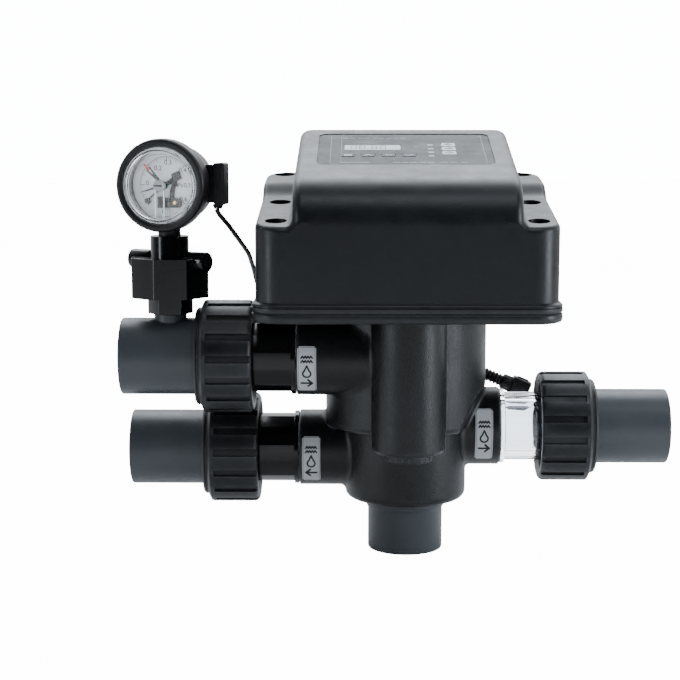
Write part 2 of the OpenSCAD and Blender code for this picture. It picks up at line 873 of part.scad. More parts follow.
module port_labels() {
    color([0.8, 0.82, 0.84]) {
        port_label(inlet, inlet_port_r, -87.5, -72, -54, 23);
        port_label(outlet, outlet_port_r, -85.5, -70.2, -50, 27);
        port_label(drain, drain_port_r, 57, 71.6, -48, 36);
    }
}

// --------------------------------------------------------- gauge isolator

module at_stem() {
    translate([stem_x, stem_y, 0]) children();
}

module isolator_base() {
    color([0.07, 0.07, 0.08])
    at_stem()
    difference() {
        union() {
            translate([0, 0, 192]) cylinder(r = 8, h = 10);
            translate([0, 0, 201]) rotate(5) cylinder(r = 18.3, h = 13.4, $fn = 6);
            translate([0, 0, 214]) cylinder(r = 15.5, h = 3);
            translate([0, 0, 216]) cylinder(r = 26.6, h = 10);
        }
        translate([0, 0, 180]) cylinder(r = 4, h = 60);
        translate([0, 0, 222]) cylinder(r = 20, h = 5);
    }
}

module isolator_diaphragm() {
    color([0.12, 0.12, 0.12])
    at_stem() translate([0, 0, 226]) cylinder(r = 26, h = 1.5);
}

module isolator_nut() {
    color([0.08, 0.08, 0.09])
    at_stem()
    difference() {
        union() {
            translate([0, 0, 214.6]) rotate(-15.5) cylinder(r = 33, h = 31.8, $fn = 8);
            for (s = [-1, 1])
                translate([0, 0, 243.5]) rotate([0, s * 90, -30]) translate([0, 0, 18]) cylinder(r = 8, h = 19);
        }
        translate([0, 0, 213]) cylinder(r = 27, h = 25.5);
        translate([0, 0, 230]) cylinder(r = 15.8, h = 30);
    }
}

module isolator_cap() {
    color([0.07, 0.07, 0.08])
    at_stem()
    difference() {
        union() {
            translate([0, 0, 227.5]) cylinder(r = 26, h = 10.5);
            translate([0, 0, 237]) cylinder(r = 15.3, h = 26.4);
        }
        translate([0, 0, 227]) cylinder(r = 20, h = 3);
        translate([0, 0, 228]) cylinder(r = 3, h = 60);
        translate([0, 0, 250]) cylinder(r = 9.1, h = 20);
    }
}

// ------------------------------------------------------------------- gauge

module gauge_case() {
    color([0.05, 0.05, 0.055])
    difference() {
        union() {
            on_gauge() {
                rotate_extrude()
                    polygon([[0, -26], [28.5, -26], [30.5, -24], [33, -8], [gauge_r, 8], [gauge_r, 20],
                             [gauge_r - 2.5, 22], [0, 22]]);
                // Terminal box on its neck, with the lead's gland below
                translate([27, -14, -9]) cube([12, 30, 8]);
                translate([37.5, -15.5, -11]) cube([9.3, 33, 12]);
                translate([39.8, -15.5 + eps, -4]) rotate([90, 0, 0]) cylinder(r1 = 4.5, r2 = 3, h = 3.5);
            }
            at_stem() translate([0, 0, 250.5]) cylinder(r = 9, h = 25);
        }
        on_gauge() {
            translate([0, 0, -22]) cylinder(r = bezel_r - 2, h = 60);
            translate([0, 0, 2.5]) cylinder(r = bezel_r - 1, h = 60);
            translate([0, 0, 17]) cylinder(r = bezel_r + 0.1, h = 10);
            translate([39.8, -8, -4]) rotate([90, 0, 0]) cylinder(r = 2.1, h = 20);
        }
        at_stem() translate([0, 0, 250]) cylinder(r = 2, h = 35);
    }
}

module gauge_window() {
    color([0.85, 0.88, 0.9, 0.4])
    on_gauge()
    difference() {
        union() {
            translate([0, 0, 17]) cylinder(r = bezel_r, h = 5);
            translate([0, 0, 22 - eps]) cylinder(r1 = bezel_r, r2 = bezel_r - 1.5, h = 1.5);
        }
        translate([0, 0, 16]) cylinder(r = bezel_r - 3, h = 2.5);
        translate([0, 0, 20.5]) cylinder(r = bezel_r - 3, h = 5);
        translate([0, 0, 10]) cylinder(r = 4.4, h = 20);
    }
}

module gauge_dial() {
    color([0.86, 0.87, 0.88])
    on_gauge()
    difference() {
        translate([0, 0, dial_z]) cylinder(r = bezel_r - 1.2, h = 1);
        translate([0, 0, dial_z - 1]) cylinder(r = 1.8, h = 3);
    }
}

// Coiled pressure tube, its block on the stem, and the pointer's bearing
module gauge_movement() {
    color([0.75, 0.62, 0.3])
    on_gauge()
    difference() {
        union() {
            rotate([0, 0, -75])
                rotate_extrude(angle = 250)
                    translate([21, -13]) square([3, 8]);
            translate([-6, -27, -15]) cube([12, 12, 12]);
            translate([-14, -9, -8]) cube([26, 20, 2]);
            translate([-14, -9, -1]) cube([26, 20, 2]);
            for (x = [-11, 9])
                translate([x, -6, -7]) cylinder(r = 1.6, h = 7);
            translate([-4, -20, -8]) cube([8, 14, 2]);
        }
        translate([0, 0, -9]) cylinder(r = 1.55, h = 12);
    }
}

module contact_carrier() {
    color([0.05, 0.05, 0.05])
    on_gauge()
    difference() {
        union() {
            // Upper contact block and its arm
            rotate([0, 0, 38]) translate([5, -2.2, dial_z + 1]) cube([9, 4.4, 3.4]);
            // Lower terminal block
            translate([-8, -19, dial_z + 1]) cube([18, 7, 3.4]);
            translate([3.5, -14, dial_z + 1]) cube([4, 18, 2]);
            translate([-6.2, -25.9, dial_z + 1]) cube([8.4, 7.4, 1.4]);
            // Legs beyond the pointers' reach, with arms in to the pin
            for (x = [-5.5, 1.5]) {
                translate([x, -25.2, dial_z + 1]) cylinder(r = 0.7, h = 11.6);
                translate([x - 0.6, -25.8, 14.5]) cube([1.2, 25.2, 1.2]);
            }
            translate([-6.1, -2.4, 14.5]) cube([8.2, 3.6, 1.2]);
            translate([0, 0, 9.4]) cylinder(r = 1.2, h = 5.6);
        }
        translate([6.5, -15.5, dial_z + 3]) cylinder(r = 1, h = 3);
    }
}

// Flat pointer: angle on the dial, length, width, tail length
module pointer(a, len, w, tail, hub_r) {
    rotate([0, 0, a]) {
        translate([-tail, -w / 2, 0]) cube([len * 0.7 + tail, w, 0.8]);
        translate([len * 0.7 - 0.5, -w * 0.3, 0]) cube([len * 0.3 + 0.5, w * 0.6, 0.8]);
    }
    cylinder(r = hub_r, h = 0.8);
}

module pressure_pointer() {
    color([0.03, 0.03, 0.03])
    on_gauge() {
        translate([0, 0, pointer_z]) pointer(196, 22.5, 1.5, 7, 3);
        translate([0, 0, -7]) cylinder(r = 1.5, h = pointer_z + 7.4);
    }
}

module set_pointer(a, z) {
    on_gauge()
        difference() {
            translate([0, 0, z]) pointer(a, 23.5, 2, 0, 3.4);
            translate([0, 0, z - 1]) cylinder(r = 1.26, h = 3);
        }
}

module low_set_pointer() { color([0.1, 0.5, 0.25]) set_pointer(268, low_z); }
module high_set_pointer() { color([0.7, 0.1, 0.15]) set_pointer(134, high_z); }

module set_knob() {
    color([0.82, 0.83, 0.84])
    on_gauge()
    difference() {
        translate([0, 0, 16.2]) cylinder(r = 4.3, h = 8.6);
        translate([0, 0, 24]) block(10, 1.1, -0.4, 2);
    }
}

// ------------------------------------------------------------------- leads

module signal_lead() {
    color([0.06, 0.06, 0.06]) swept_tube(smooth(signal_route, 3), lead_d, lead_sides);
}

module pigtail_lead() {
    color([0.06, 0.06, 0.06]) swept_tube(smooth(pigtail_route, 3), lead_d, lead_sides);
}

module pigtail_connector() {
    color([0.07, 0.07, 0.08])
    translate(pigtail_at) rotate([0, 90 + pigtail_tilt, 0]) {
        cylinder(r = 5, h = 22);
        for (i = [0:4])
            translate([0, 0, 4 + i * 3.4]) cylinder(r = 5.5, h = 1.7);
        translate([0, 0, 21.9]) cylinder(r = 6.6, h = 9);
        translate([0, 0, 30.8]) block(16.4, 13.6, 0, 15.5);
        translate([-9.4, -3, 33]) cube([2, 6, 10]);
    }
}

valve_body();
column_plug();
riser_socket();
riser_seal();
bonnet_nut();
bonnet_seal();
shaft_seal();
thrust_washer();
disc_gasket();
fixed_disc();
moving_disc();
rotor();
drive_gear();
gear_screw();
position_magnets();
drive_pinion();
gearmotor();
motor_bracket();
motor_screws();
position_board();
head_tray();
head_gasket();
head_cover();
cover_screws();
display_panel();
lcd_module();
status_lamps();
control_board();
key_switches();
key_menu();
key_up();
key_down();
key_set();
inlet_adaptor();
outlet_adaptor();
sight_tube();
union_seals();
inlet_nut();
outlet_nut();
drain_nut();
inlet_tail();
outlet_tail();
drain_tail();
port_labels();
isolator_base();
isolator_diaphragm();
isolator_nut();
isolator_cap();
gauge_case();
gauge_window();
gauge_dial();
gauge_movement();
contact_carrier();
pressure_pointer();
low_set_pointer();
high_set_pointer();
set_knob();
signal_lead();
pigtail_lead();
pigtail_connector();
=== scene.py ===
"""Looks of the multiport valve: detailed meshes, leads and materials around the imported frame.

Shapes are worked out in millimetres in the row's frame and become metres when a piece is made.
"""

import json
import math

import bmesh
import bpy
import numpy as np
from mathutils import Matrix, Vector


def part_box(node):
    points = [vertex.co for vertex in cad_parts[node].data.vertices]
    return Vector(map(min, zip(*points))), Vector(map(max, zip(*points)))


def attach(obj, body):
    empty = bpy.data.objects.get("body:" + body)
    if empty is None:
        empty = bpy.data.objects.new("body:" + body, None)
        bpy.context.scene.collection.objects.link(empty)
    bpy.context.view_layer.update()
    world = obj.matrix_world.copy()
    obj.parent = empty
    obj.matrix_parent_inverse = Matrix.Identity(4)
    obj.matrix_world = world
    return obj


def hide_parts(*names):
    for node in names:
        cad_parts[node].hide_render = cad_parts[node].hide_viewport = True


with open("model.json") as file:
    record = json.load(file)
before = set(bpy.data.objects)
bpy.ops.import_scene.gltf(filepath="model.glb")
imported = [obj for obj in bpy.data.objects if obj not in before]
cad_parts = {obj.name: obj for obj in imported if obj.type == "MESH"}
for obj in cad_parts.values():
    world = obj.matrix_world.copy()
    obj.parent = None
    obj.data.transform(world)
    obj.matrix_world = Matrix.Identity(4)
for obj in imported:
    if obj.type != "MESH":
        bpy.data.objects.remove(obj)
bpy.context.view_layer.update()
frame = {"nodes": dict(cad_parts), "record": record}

MM = 0.001


def box_mm(node):
    """A CAD node's lowest and highest corners at rest, in millimetres."""
    low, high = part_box(node)
    return np.array(low) / MM, np.array(high) / MM


# ------------------------------------------------------------------ places

TRAY_LOW, TRAY_HIGH = box_mm("head_tray")
HEAD_X = (TRAY_LOW[0] + TRAY_HIGH[0]) / 2
HEAD_Y = (TRAY_LOW[1] + box_mm("head_gasket")[1][1] + 0.8) / 2
HEAD_HALF_W = (TRAY_HIGH[0] - TRAY_LOW[0]) / 2
HEAD_HALF_D = HEAD_Y - TRAY_LOW[1]
TRAY_Z = 201
SEAM_Z = 209
LIP_Z = 216
HEAD_R = 22
WALL_INSET = 3
FACE_FRONT = HEAD_Y - HEAD_HALF_D + WALL_INSET
FACE_BACK = HEAD_Y + HEAD_HALF_D - WALL_INSET
HUMP_HALF_W = 88
TILT = math.radians(13.45)
DISPLAY_Y = -60
DISPLAY_Z = 315
COVER_TOP = box_mm("head_cover")[1][2] - 0.1
SCREW_SPOTS = [(HEAD_X + s * 101, y, z) for s in (-1, 1) for y, z in ((-80, 262), (-12, 270), (64, 290))]

STEM_X, STEM_Y = -190.5, -32
GAUGE_Z = 304
GAUGE_YAW = math.radians(13)

UNIONS = {"inlet": -1, "outlet": -1, "drain": 1}


def union_place(name):
    """Axis position and open mouth of a union nut: (x of the mouth, y, z, direction)."""
    low, high = box_mm(name + "_nut")
    side = UNIONS[name]
    mouth = low[0] if side > 0 else high[0]
    return mouth, (low[1] + high[1]) / 2, (low[2] + high[2]) / 2, side


def along_x(x, y, z, side):
    """Frame whose +Z runs along +X or -X and whose +X points down to the front of the part."""
    column_z = Vector((side, 0, 0))
    column_x = Vector((0, -1, 0))
    column_y = column_z.cross(column_x)
    m = Matrix((column_x, column_y, column_z)).transposed().to_4x4()
    m.translation = (x, y, z)
    return m


def upright(x, y, z=0):
    return Matrix.Translation((x, y, z))


GAUGE = (Matrix.Translation((STEM_X, STEM_Y, GAUGE_Z)) @ Matrix.Rotation(-GAUGE_YAW, 4, "Z")
         @ Matrix.Rotation(math.pi / 2, 4, "X"))
DISPLAY = Matrix.Translation((HEAD_X, DISPLAY_Y, DISPLAY_Z)) @ Matrix.Rotation(TILT, 4, "X")
WORLD = Matrix.Identity(4)

# ------------------------------------------------------------------ camera

camera = bpy.data.objects.new("camera", bpy.data.cameras.new("camera"))
bpy.context.scene.collection.objects.link(camera)
camera.location = (-0.0343, -1.2955, 0.3588)
camera.rotation_euler = (math.radians(81.91), 0, math.radians(0.89))
camera.data.lens = 83.74
camera.data.sensor_width = 36
camera.data.clip_end = 50
bpy.context.scene.camera = camera

# ------------------------------------------------------------------- nodes


class Nodes:
    """Short way to write a material's node tree."""

    def __init__(self, name):
        self.material = bpy.data.materials.new(name)
        self.material.use_nodes = True
        self.tree = self.material.node_tree
        self.shader = self.tree.nodes["Principled BSDF"]

    def node(self, kind, inputs=None, **settings):
        made = self.tree.nodes.new(kind)
        for key, value in settings.items():
            setattr(made, key, value)
        for key, value in (inputs or {}).items():
            if isinstance(value, bpy.types.NodeSocket):
                self.tree.links.new(value, made.inputs[key])
            else:
                made.inputs[key].default_value = value
        return made

    def place(self, scale=(1, 1, 1)):
        """Position on the part, stretched by scale."""
        texture = self.node("ShaderNodeTexCoord")
        return self.node("ShaderNodeMapping", {"Vector": texture.outputs["Object"], "Scale": scale}).outputs[0]

    def noise(self, scale, detail=3, roughness=0.5, where=None):
        where = where or self.place()
        return self.node("ShaderNodeTexNoise", {"Vector": where, "Scale": scale, "Detail": detail,
                                                "Roughness": roughness}).outputs["Fac"]

    def ramp(self, value, stops):
        made = self.node("ShaderNodeValToRGB", {"Fac": value})
        for k, (at, colour) in enumerate(stops):
            stop = made.color_ramp.elements[k] if k < 2 else made.color_ramp.elements.new(at)
            stop.position = at
            stop.color = (*colour, 1)
        return made.outputs["Color"]

    def spread(self, value, low, high, start=0.3, end=0.7):
        return self.node("ShaderNodeMapRange", {"Value": value, "From Min": start, "From Max": end,
                                                "To Min": low, "To Max": high}).outputs[0]

    def mix(self, factor, a, b):
        made = self.node("ShaderNodeMix", data_type="RGBA")
        for socket, value in ((made.inputs[0], factor), (made.inputs[6], a), (made.inputs[7], b)):
            if isinstance(value, bpy.types.NodeSocket):
                self.tree.links.new(value, socket)
            else:
                socket.default_value = value if isinstance(value, float) else (*value, 1)
        return made.outputs[2]

    def bump(self, height, strength, distance):
        made = self.node("ShaderNodeBump", {"Height": height, "Strength": strength, "Distance": distance})
        self.tree.links.new(made.outputs[0], self.shader.inputs["Normal"])

    def wire(self, **links):
        for key, value in links.items():
            socket = self.shader.inputs[key.replace("_", " ")]
            if isinstance(value, bpy.types.NodeSocket):
                self.tree.links.new(value, socket)
            else:
                socket.default_value = value
        return self.material


def tone(colour, k):
    return tuple(min(1.0, c * k) for c in colour)


def plastic(name, colour, rough=0.4, grain=0.0, grain_scale=1400, vary=0.25, edge_scuffs_and_highlight=0.0, specular=0.5, **extra):
    """Moulded plastic: cloudy colour, uneven gloss, fine grain, and a pale tint on convex edges that is part scuffing
    and part painted edge highlight.
    """
    n = Nodes(name)
    cloud = n.noise(16, 4)
    base = n.ramp(cloud, [(0.3, tone(colour, 1 - vary)), (0.7, tone(colour, 1 + vary))])
    if edge_scuffs_and_highlight:
        # Pale tint on convex edges from Pointiness, broken up by noise: partly scuff wear, partly a painted highlight
        # standing in for rim reflections on rounded edges.
        edge = n.node("ShaderNodeNewGeometry").outputs["Pointiness"]
        wear_and_edge_highlight = n.spread(edge, 0.0, edge_scuffs_and_highlight, 0.505, 0.56)
        patch = n.node("ShaderNodeMath", {0: wear_and_edge_highlight, 1: n.noise(90, 4)}, operation="MULTIPLY").outputs[0]
        base = n.mix(patch, base, tone((0.5, 0.52, 0.55), 0.6))
    if grain:
        n.bump(n.noise(grain_scale, 2, 0.6), grain, 0.0002)
    smear = n.noise(55, 5, 0.65)
    return n.wire(Base_Color=base, Roughness=n.spread(smear, rough - 0.06, rough + 0.08),
                  Specular_IOR_Level=specular, **extra)


def metal(name, colour, rough=0.3, brush=(1, 1, 30)):
    """Turned or rolled metal with fine lines and uneven gloss."""
    n = Nodes(name)
    lines = n.noise(260, 3, 0.6, n.place(brush))
    base = n.ramp(lines, [(0.3, tone(colour, 0.85)), (0.7, tone(colour, 1.1))])
    n.bump(lines, 0.12, 0.0001)
    return n.wire(Base_Color=base, Metallic=1.0, Roughness=n.spread(lines, rough - 0.06, rough + 0.1))


def clear(name, colour, rough=0.03, ior=1.5):
    """Clear moulding with faint flow marks and handling haze."""
    n = Nodes(name)
    haze = n.noise(45, 4, 0.6)
    base = n.ramp(haze, [(0.3, colour), (0.7, tone(colour, 0.96))])
    n.bump(n.noise(60, 2), 0.06, 0.0004)
    return n.wire(Base_Color=base, Roughness=n.spread(haze, rough, rough + 0.05), Transmission_Weight=1.0,
                  IOR=ior)


def ribbed_rubber(name):
    """Cable sleeve with a fine twist."""
    n = Nodes(name)
    wave = n.node("ShaderNodeTexWave", {"Vector": n.place(), "Scale": 260.0, "Distortion": 1.5, "Detail": 2.0},
                  wave_type="BANDS", bands_direction="DIAGONAL").outputs["Fac"]
    base = n.ramp(n.noise(120, 3), [(0.3, (0.008, 0.008, 0.009)), (0.7, (0.02, 0.02, 0.022))])
    n.bump(wave, 0.5, 0.0004)
    return n.wire(Base_Color=base, Roughness=n.spread(wave, 0.42, 0.6))


def board(name):
    """Circuit board: solder mask with tracks that show through."""
    n = Nodes(name)
    brick = n.node("ShaderNodeTexBrick", {"Vector": n.place((1, 1, 1)), "Scale": 120.0, "Mortar Size": 0.03,
                                          "Color1": (0.01, 0.1, 0.045, 1), "Color2": (0.012, 0.13, 0.06, 1),
                                          "Mortar": (0.03, 0.22, 0.1, 1)}).outputs["Color"]
    n.bump(n.noise(300, 2), 0.1, 0.0002)
    return n.wire(Base_Color=brick, Roughness=n.spread(n.noise(80), 0.3, 0.45))


MATERIALS = {
    # The edge tint amounts below are part scuff wear and part painted edge highlight.
    "body_black": plastic("body_black", (0.005, 0.0058, 0.007), 0.34, grain=1.0, grain_scale=900, edge_scuffs_and_highlight=0.2),
    "head_black": plastic("head_black", (0.0068, 0.0081, 0.0102), 0.36, grain=0.22, edge_scuffs_and_highlight=0.08),
    "nut_black": plastic("nut_black", (0.006, 0.007, 0.009), 0.38, grain=0.35, edge_scuffs_and_highlight=0.35),
    "gloss_black": plastic("gloss_black", (0.0028, 0.003, 0.0038), 0.15, vary=0.15),
    "grey_pvc": plastic("grey_pvc", (0.058, 0.066, 0.075), 0.36, grain=0.2, grain_scale=500, vary=0.1),
    "clear_tube": clear("clear_tube", (0.86, 0.9, 0.95), ior=1.5),
    "gauge_glass": clear("gauge_glass", (0.97, 0.985, 1.0), rough=0.0, ior=1.38),
    "seal_rubber": plastic("seal_rubber", (0.01, 0.01, 0.01), 0.7, grain=0.3),
    "ceramic": plastic("ceramic", (0.72, 0.7, 0.64), 0.12, vary=0.05),
    "white_acetal": plastic("white_acetal", (0.68, 0.67, 0.62), 0.4, vary=0.06, grain=0.1),
    "nylon_dark": plastic("nylon_dark", (0.02, 0.02, 0.022), 0.5, grain=0.4),
    "steel": metal("steel", (0.55, 0.55, 0.57)),
    "bracket_metal": metal("bracket_metal", (0.62, 0.63, 0.65), 0.35, (1, 20, 1)),
    "magnet": metal("magnet", (0.66, 0.66, 0.68), 0.15),
    "brass": metal("brass", (0.6, 0.44, 0.18), 0.28),
    "board_green": board("board_green"),
    "switch_black": plastic("switch_black", (0.015, 0.015, 0.015), 0.5),
    "panel_grey": plastic("panel_grey", (0.02, 0.022, 0.026), 0.5, grain=0.2, vary=0.08, specular=0.4),
    "lcd_grey": plastic("lcd_grey", (0.68, 0.74, 0.8), 0.25, vary=0.04),
    "lamp_white": plastic("lamp_white", (0.88, 0.9, 0.92), 0.35, vary=0.03),
    "key_grey": plastic("key_grey", (0.03, 0.033, 0.038), 0.5, grain=0.3, vary=0.1),
    "label_silver": plastic("label_silver", (0.62, 0.64, 0.66), 0.35, vary=0.08),
    "gauge_black": plastic("gauge_black", (0.006, 0.006, 0.0075), 0.42, grain=0.4, vary=0.2),
    "dial_white": plastic("dial_white", (0.68, 0.69, 0.71), 0.45, vary=0.03),
    "contact_black": plastic("contact_black", (0.006, 0.006, 0.006), 0.3),
    "pointer_black": plastic("pointer_black", (0.006, 0.006, 0.006), 0.45),
    "pointer_green": plastic("pointer_green", (0.02, 0.3, 0.1), 0.4),
    "pointer_red": plastic("pointer_red", (0.55, 0.02, 0.05), 0.4),
    "knob_silver": plastic("knob_silver", (0.66, 0.67, 0.69), 0.25, vary=0.06),
    "lead_black": ribbed_rubber("lead_black"),
    "plug_black": plastic("plug_black", (0.012, 0.012, 0.014), 0.45, grain=0.4),
    "print_dark": plastic("print_dark", (0.012, 0.012, 0.014), 0.5),
    "print_pale": plastic("print_pale", (0.6, 0.62, 0.65), 0.6),
    "print_white": plastic("print_white", (0.9, 0.9, 0.9), 0.5, vary=0.03),
}

for entry in frame["record"]["subparts"]:
    node = frame["nodes"][entry["node"]]
    node.data.materials.clear()
    node.data.materials.append(MATERIALS[entry["material_slot"]])

# ---------------------------------------------------------------- outlines


def round_rect(x0, y0, w, h, r, steps=6):
    """Outline of a rectangle with round corners, counter-clockwise."""
    points = []
    for cx, cy, turn in ((x0 + w - r, y0 + r, -90), (x0 + w - r, y0 + h - r, 0), (x0 + r, y0 + h - r, 90),
                         (x0 + r, y0 + r, 180)):
        for k in range(steps + 1):
            a = math.radians(turn + 90 * k / steps)
            points.append((cx + r * math.cos(a), cy + r * math.sin(a)))
    return points


def soften(points, r, steps=3, closed=True):
    """Outline with each corner rounded over a length r."""
    made = []
    count = len(points)
    for k, p in enumerate(points):
        if not closed and k in (0, count - 1):
            made.append(tuple(p))
            continue
        before, after = Vector(points[k - 1]), Vector(points[(k + 1) % count])
        p = Vector(p)
        a = p + (before - p).normalized() * min(r, (before - p).length * 0.45)
        b = p + (after - p).normalized() * min(r, (after - p).length * 0.45)
        for i in range(steps + 1):
            t = i / steps
            made.append(tuple((1 - t) ** 2 * a + 2 * t * (1 - t) * p + t * t * b))
    return made


# -------------------------------------------------------------- mesh parts
# A part of a mesh is (points, faces), in millimetres.


def join(*parts):
    points, faces = [], []
    for v, f in parts:
        faces += [[i + len(points) for i in face] for face in f]
        points += [tuple(p) for p in v]
    return points, faces


def moved(part, matrix):
    return [tuple(matrix @ Vector(p)) for p in part[0]], part[1]


def turned(part, angle):
    """Part turned about Z by an angle in degrees."""
    return moved(part, Matrix.Rotation(math.radians(angle), 4, "Z"))


def lathe(profile, n=96, start=0.0):
    """Surface turned about Z from (radius, height) points; a profile that ends on the axis closes there."""
    on_axis = profile[0][0] == 0 and profile[-1][0] == 0
    rings, points, faces = [], [], []
    for r, z in profile:
        if r == 0:
            rings.append([len(points)] * n)
            points.append((0, 0, z))
            continue
        rings.append(list(range(len(points), len(points) + n)))
        for k in range(n):
            a = start + 2 * math.pi * k / n
            points.append((r * math.cos(a), r * math.sin(a), z))
    pairs = list(zip(rings, rings[1:])) + ([] if on_axis else [(rings[-1], rings[0])])
    for a, b in pairs:
        for k in range(n):
            face = [a[k], a[(k + 1) % n], b[(k + 1) % n], b[k]]
            face = [v for i, v in enumerate(face) if v != face[i - 1]]
            if len(face) > 2:
                faces.append(face)
    return points, faces


def prism(outline, z0, z1):
    n = len(outline)
    points = [(x, y, z0) for x, y in outline] + [(x, y, z1) for x, y in outline]
    faces = [list(range(n))[::-1], list(range(n, 2 * n))]
    faces += [[k, (k + 1) % n, n + (k + 1) % n, n + k] for k in range(n)]
    return points, faces


def slab(x0, y0, z0, x1, y1, z1):
    return prism([(x0, y0), (x1, y0), (x1, y1), (x0, y1)], z0, z1)


def polygon(r, n, turn=0.0):
    angles = [turn + 2 * math.pi * k / n for k in range(n)]
    return [(r * math.cos(a), r * math.sin(a)) for a in angles]


def ring_prism(outer, inner, z0, z1):
    """Prism between two outlines with the same number of points."""
    n = len(outer)
    points = [(x, y, z) for z in (z0, z1) for ring in (outer, inner) for x, y in ring]
    faces = []
    for k in range(n):
        m = (k + 1) % n
        faces += [[k, m, 2 * n + m, 2 * n + k], [n + m, n + k, 3 * n + k, 3 * n + m],
                  [m, k, n + k, n + m], [2 * n + k, 2 * n + m, 3 * n + m, 3 * n + k]]
    return points, faces


def rim(profile):
    """Profile of (inset, height) points carried around the head's outline."""
    rings = []
    for inset, z in profile:
        half_w, half_d = HEAD_HALF_W - inset, HEAD_HALF_D - inset
        outline = round_rect(HEAD_X - half_w, HEAD_Y - half_d, 2 * half_w, 2 * half_d, HEAD_R - inset / 2, 12)
        rings.append([(x, y, z) for x, y in outline])
    n = len(rings[0])
    points = [p for ring in rings for p in ring]
    faces = []
    for j in range(len(rings)):
        a, b = j * n, (j + 1) % len(rings) * n
        faces += [[a + k, a + (k + 1) % n, b + (k + 1) % n, b + k] for k in range(n)]
    return points, faces


def piece(name, part, matrix, slot, body="root", replaces=(), bevel=0.0, sharp=35.0, material=None, segments=2):
    """Makes a mesh object from a part, and hands it to the frame."""
    mesh = bpy.data.meshes.new(name)
    mesh.from_pydata([tuple((matrix @ Vector(p)) * MM) for p in part[0]], [], part[1])
    work = bmesh.new()
    work.from_mesh(mesh)
    bmesh.ops.recalc_face_normals(work, faces=work.faces)
    work.to_mesh(mesh)
    work.free()
    mesh.shade_smooth()
    mesh.set_sharp_from_angle(angle=math.radians(sharp))
    made = bpy.data.objects.new(name, mesh)
    bpy.context.scene.collection.objects.link(made)
    mesh.materials.append(MATERIALS[material or slot])
    if bevel:
        edge = made.modifiers.new("edges", "BEVEL")
        edge.width = bevel * MM
        edge.segments = segments
        edge.limit_method = "ANGLE"
        edge.angle_limit = math.radians(sharp)
        edge.harden_normals = True
    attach(made, body)
    if replaces:
        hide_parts(*replaces)
    return made


# ------------------------------------------------------------------- leads

SIGNAL_ROUTE = [
    (-152, -38, 285), (-150, -38, 281), (-147, -36, 277), (-143, -29, 271),
    (-139, -16, 263), (-135, 2, 254), (-131, 22, 244), (-130, 38, 236),
    (-129, 52, 228), (-128, 64, 219), (-126, 76, 210), (-121, 88, 203),
    (-114, 99, 200), (-105, 108, 201), (-96, 114, 206), (-88, 116, 214),
    (-83, 115, 223), (-80, 110, 230), (-80, 103, 233), (-80, 96, 233),
]
PIGTAIL_ROUTE = [
    (41, 70, 187), (41, 70, 181), (41, 69, 174), (42, 66, 166), (44, 62, 158),
    (48, 57, 152), (53, 51, 147), (58, 47, 144), (63.4, 45, 142),
]
LEAD_D = 4


def smooth(route, n=4):
    """Catmull-Rom curve through the route's points."""
    p = [Vector(q) for q in route]
    made = []
    for i in range(len(p) - 1):
        a, b, c, d = p[max(i - 1, 0)], p[i], p[i + 1], p[min(i + 2, len(p) - 1)]
        for k in range(n):
            t = k / n
            made.append(0.5 * (2 * b + (c - a) * t + (2 * a - 5 * b + 4 * c - d) * t * t
                               + (3 * b - a - 3 * c + d) * t ** 3))
    return made + [p[-1]]


def lead(name, route, node):
    curve = bpy.data.curves.new(name, "CURVE")
    curve.dimensions = "3D"
    curve.bevel_depth = LEAD_D / 2 * MM * 0.99
    curve.bevel_resolution = 4
    curve.use_fill_caps = True
    points = smooth(route)
    spline = curve.splines.new("POLY")
    spline.points.add(len(points) - 1)
    for point, place in zip(spline.points, points):
        point.co = (*(place * MM), 1)
    spline.use_smooth = True
    made = bpy.data.objects.new(name, curve)
    bpy.context.scene.collection.objects.link(made)
    curve.materials.append(MATERIALS["lead_black"])
    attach(made, "root")
    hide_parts(node)
    return made


PIGTAIL = Matrix.Translation(PIGTAIL_ROUTE[-1]) @ Matrix.Rotation(math.radians(90 + 23), 4, "Y")


def pigtail_boot():
    """Ribbed boot, locking collar and latched block of the connector."""
    profile = [(0, 0), (3.4, 0), (4.4, 1.2)]
    for k in range(6):
        z = 2.2 + 3.2 * k
        profile += [(4.3, z), (5.2, z + 0.5), (5.2, z + 1.7), (4.3, z + 2.1)]
    profile += [(4.6, 21.4), (6.2, 22.1), (6.5, 23), (6.5, 29.8), (6, 30.8), (0, 30.8)]
    ridge = moved(prism(polygon(0.55, 8), 23.2, 29.6), Matrix.Translation((6.2, 0, 0)))
    ridges = [turned(ridge, 360 * k / 16) for k in range(16)]
    block = prism(round_rect(-8.2, -6.8, 16.4, 13.6, 1.6, 4), 30.8, 46.1)
    step = prism(round_rect(-7.2, -5.8, 14.4, 11.6, 1.2, 4), 30.2, 31.2)
    latch = slab(-9.3, -2.8, 33.2, -8, 2.8, 42.8)
    nib = slab(-9.4, -2.8, 41.2, -8.4, 2.8, 42.9)
    return join(lathe(profile, 40), *ridges, block, step, latch, nib)


connector = piece("pigtail_boot", pigtail_boot(), PIGTAIL, "plug_black", replaces=["pigtail_connector"],
                  bevel=0.3)
lead("signal_cable", SIGNAL_ROUTE, "signal_lead")
lead("pigtail_cable", PIGTAIL_ROUTE, "pigtail_lead")

# -------------------------------------------------- smooth moulded surfaces
# A field is the signed distance to a shape in millimetres, negative inside.


def round_bar(u, v, w, r, low, high, edge):
    """Field of a cylinder along w with rounded rims."""
    d = np.hypot(u, v) - r + edge
    h = np.abs(w - (low + high) / 2) - (high - low) / 2 + edge
    return np.minimum(np.maximum(d, h), 0) + np.hypot(np.maximum(d, 0), np.maximum(h, 0)) - edge


def fillet(a, b, r):
    """Union of two fields with a concave fillet of radius r."""
    return np.maximum(r, np.minimum(a, b)) - np.hypot(np.maximum(r - a, 0), np.maximum(r - b, 0))


def meet(a, b, r):
    """Intersection of two fields with a convex edge of radius r."""
    return np.minimum(-r, np.maximum(a, b)) + np.hypot(np.maximum(r + a, 0), np.maximum(r + b, 0))


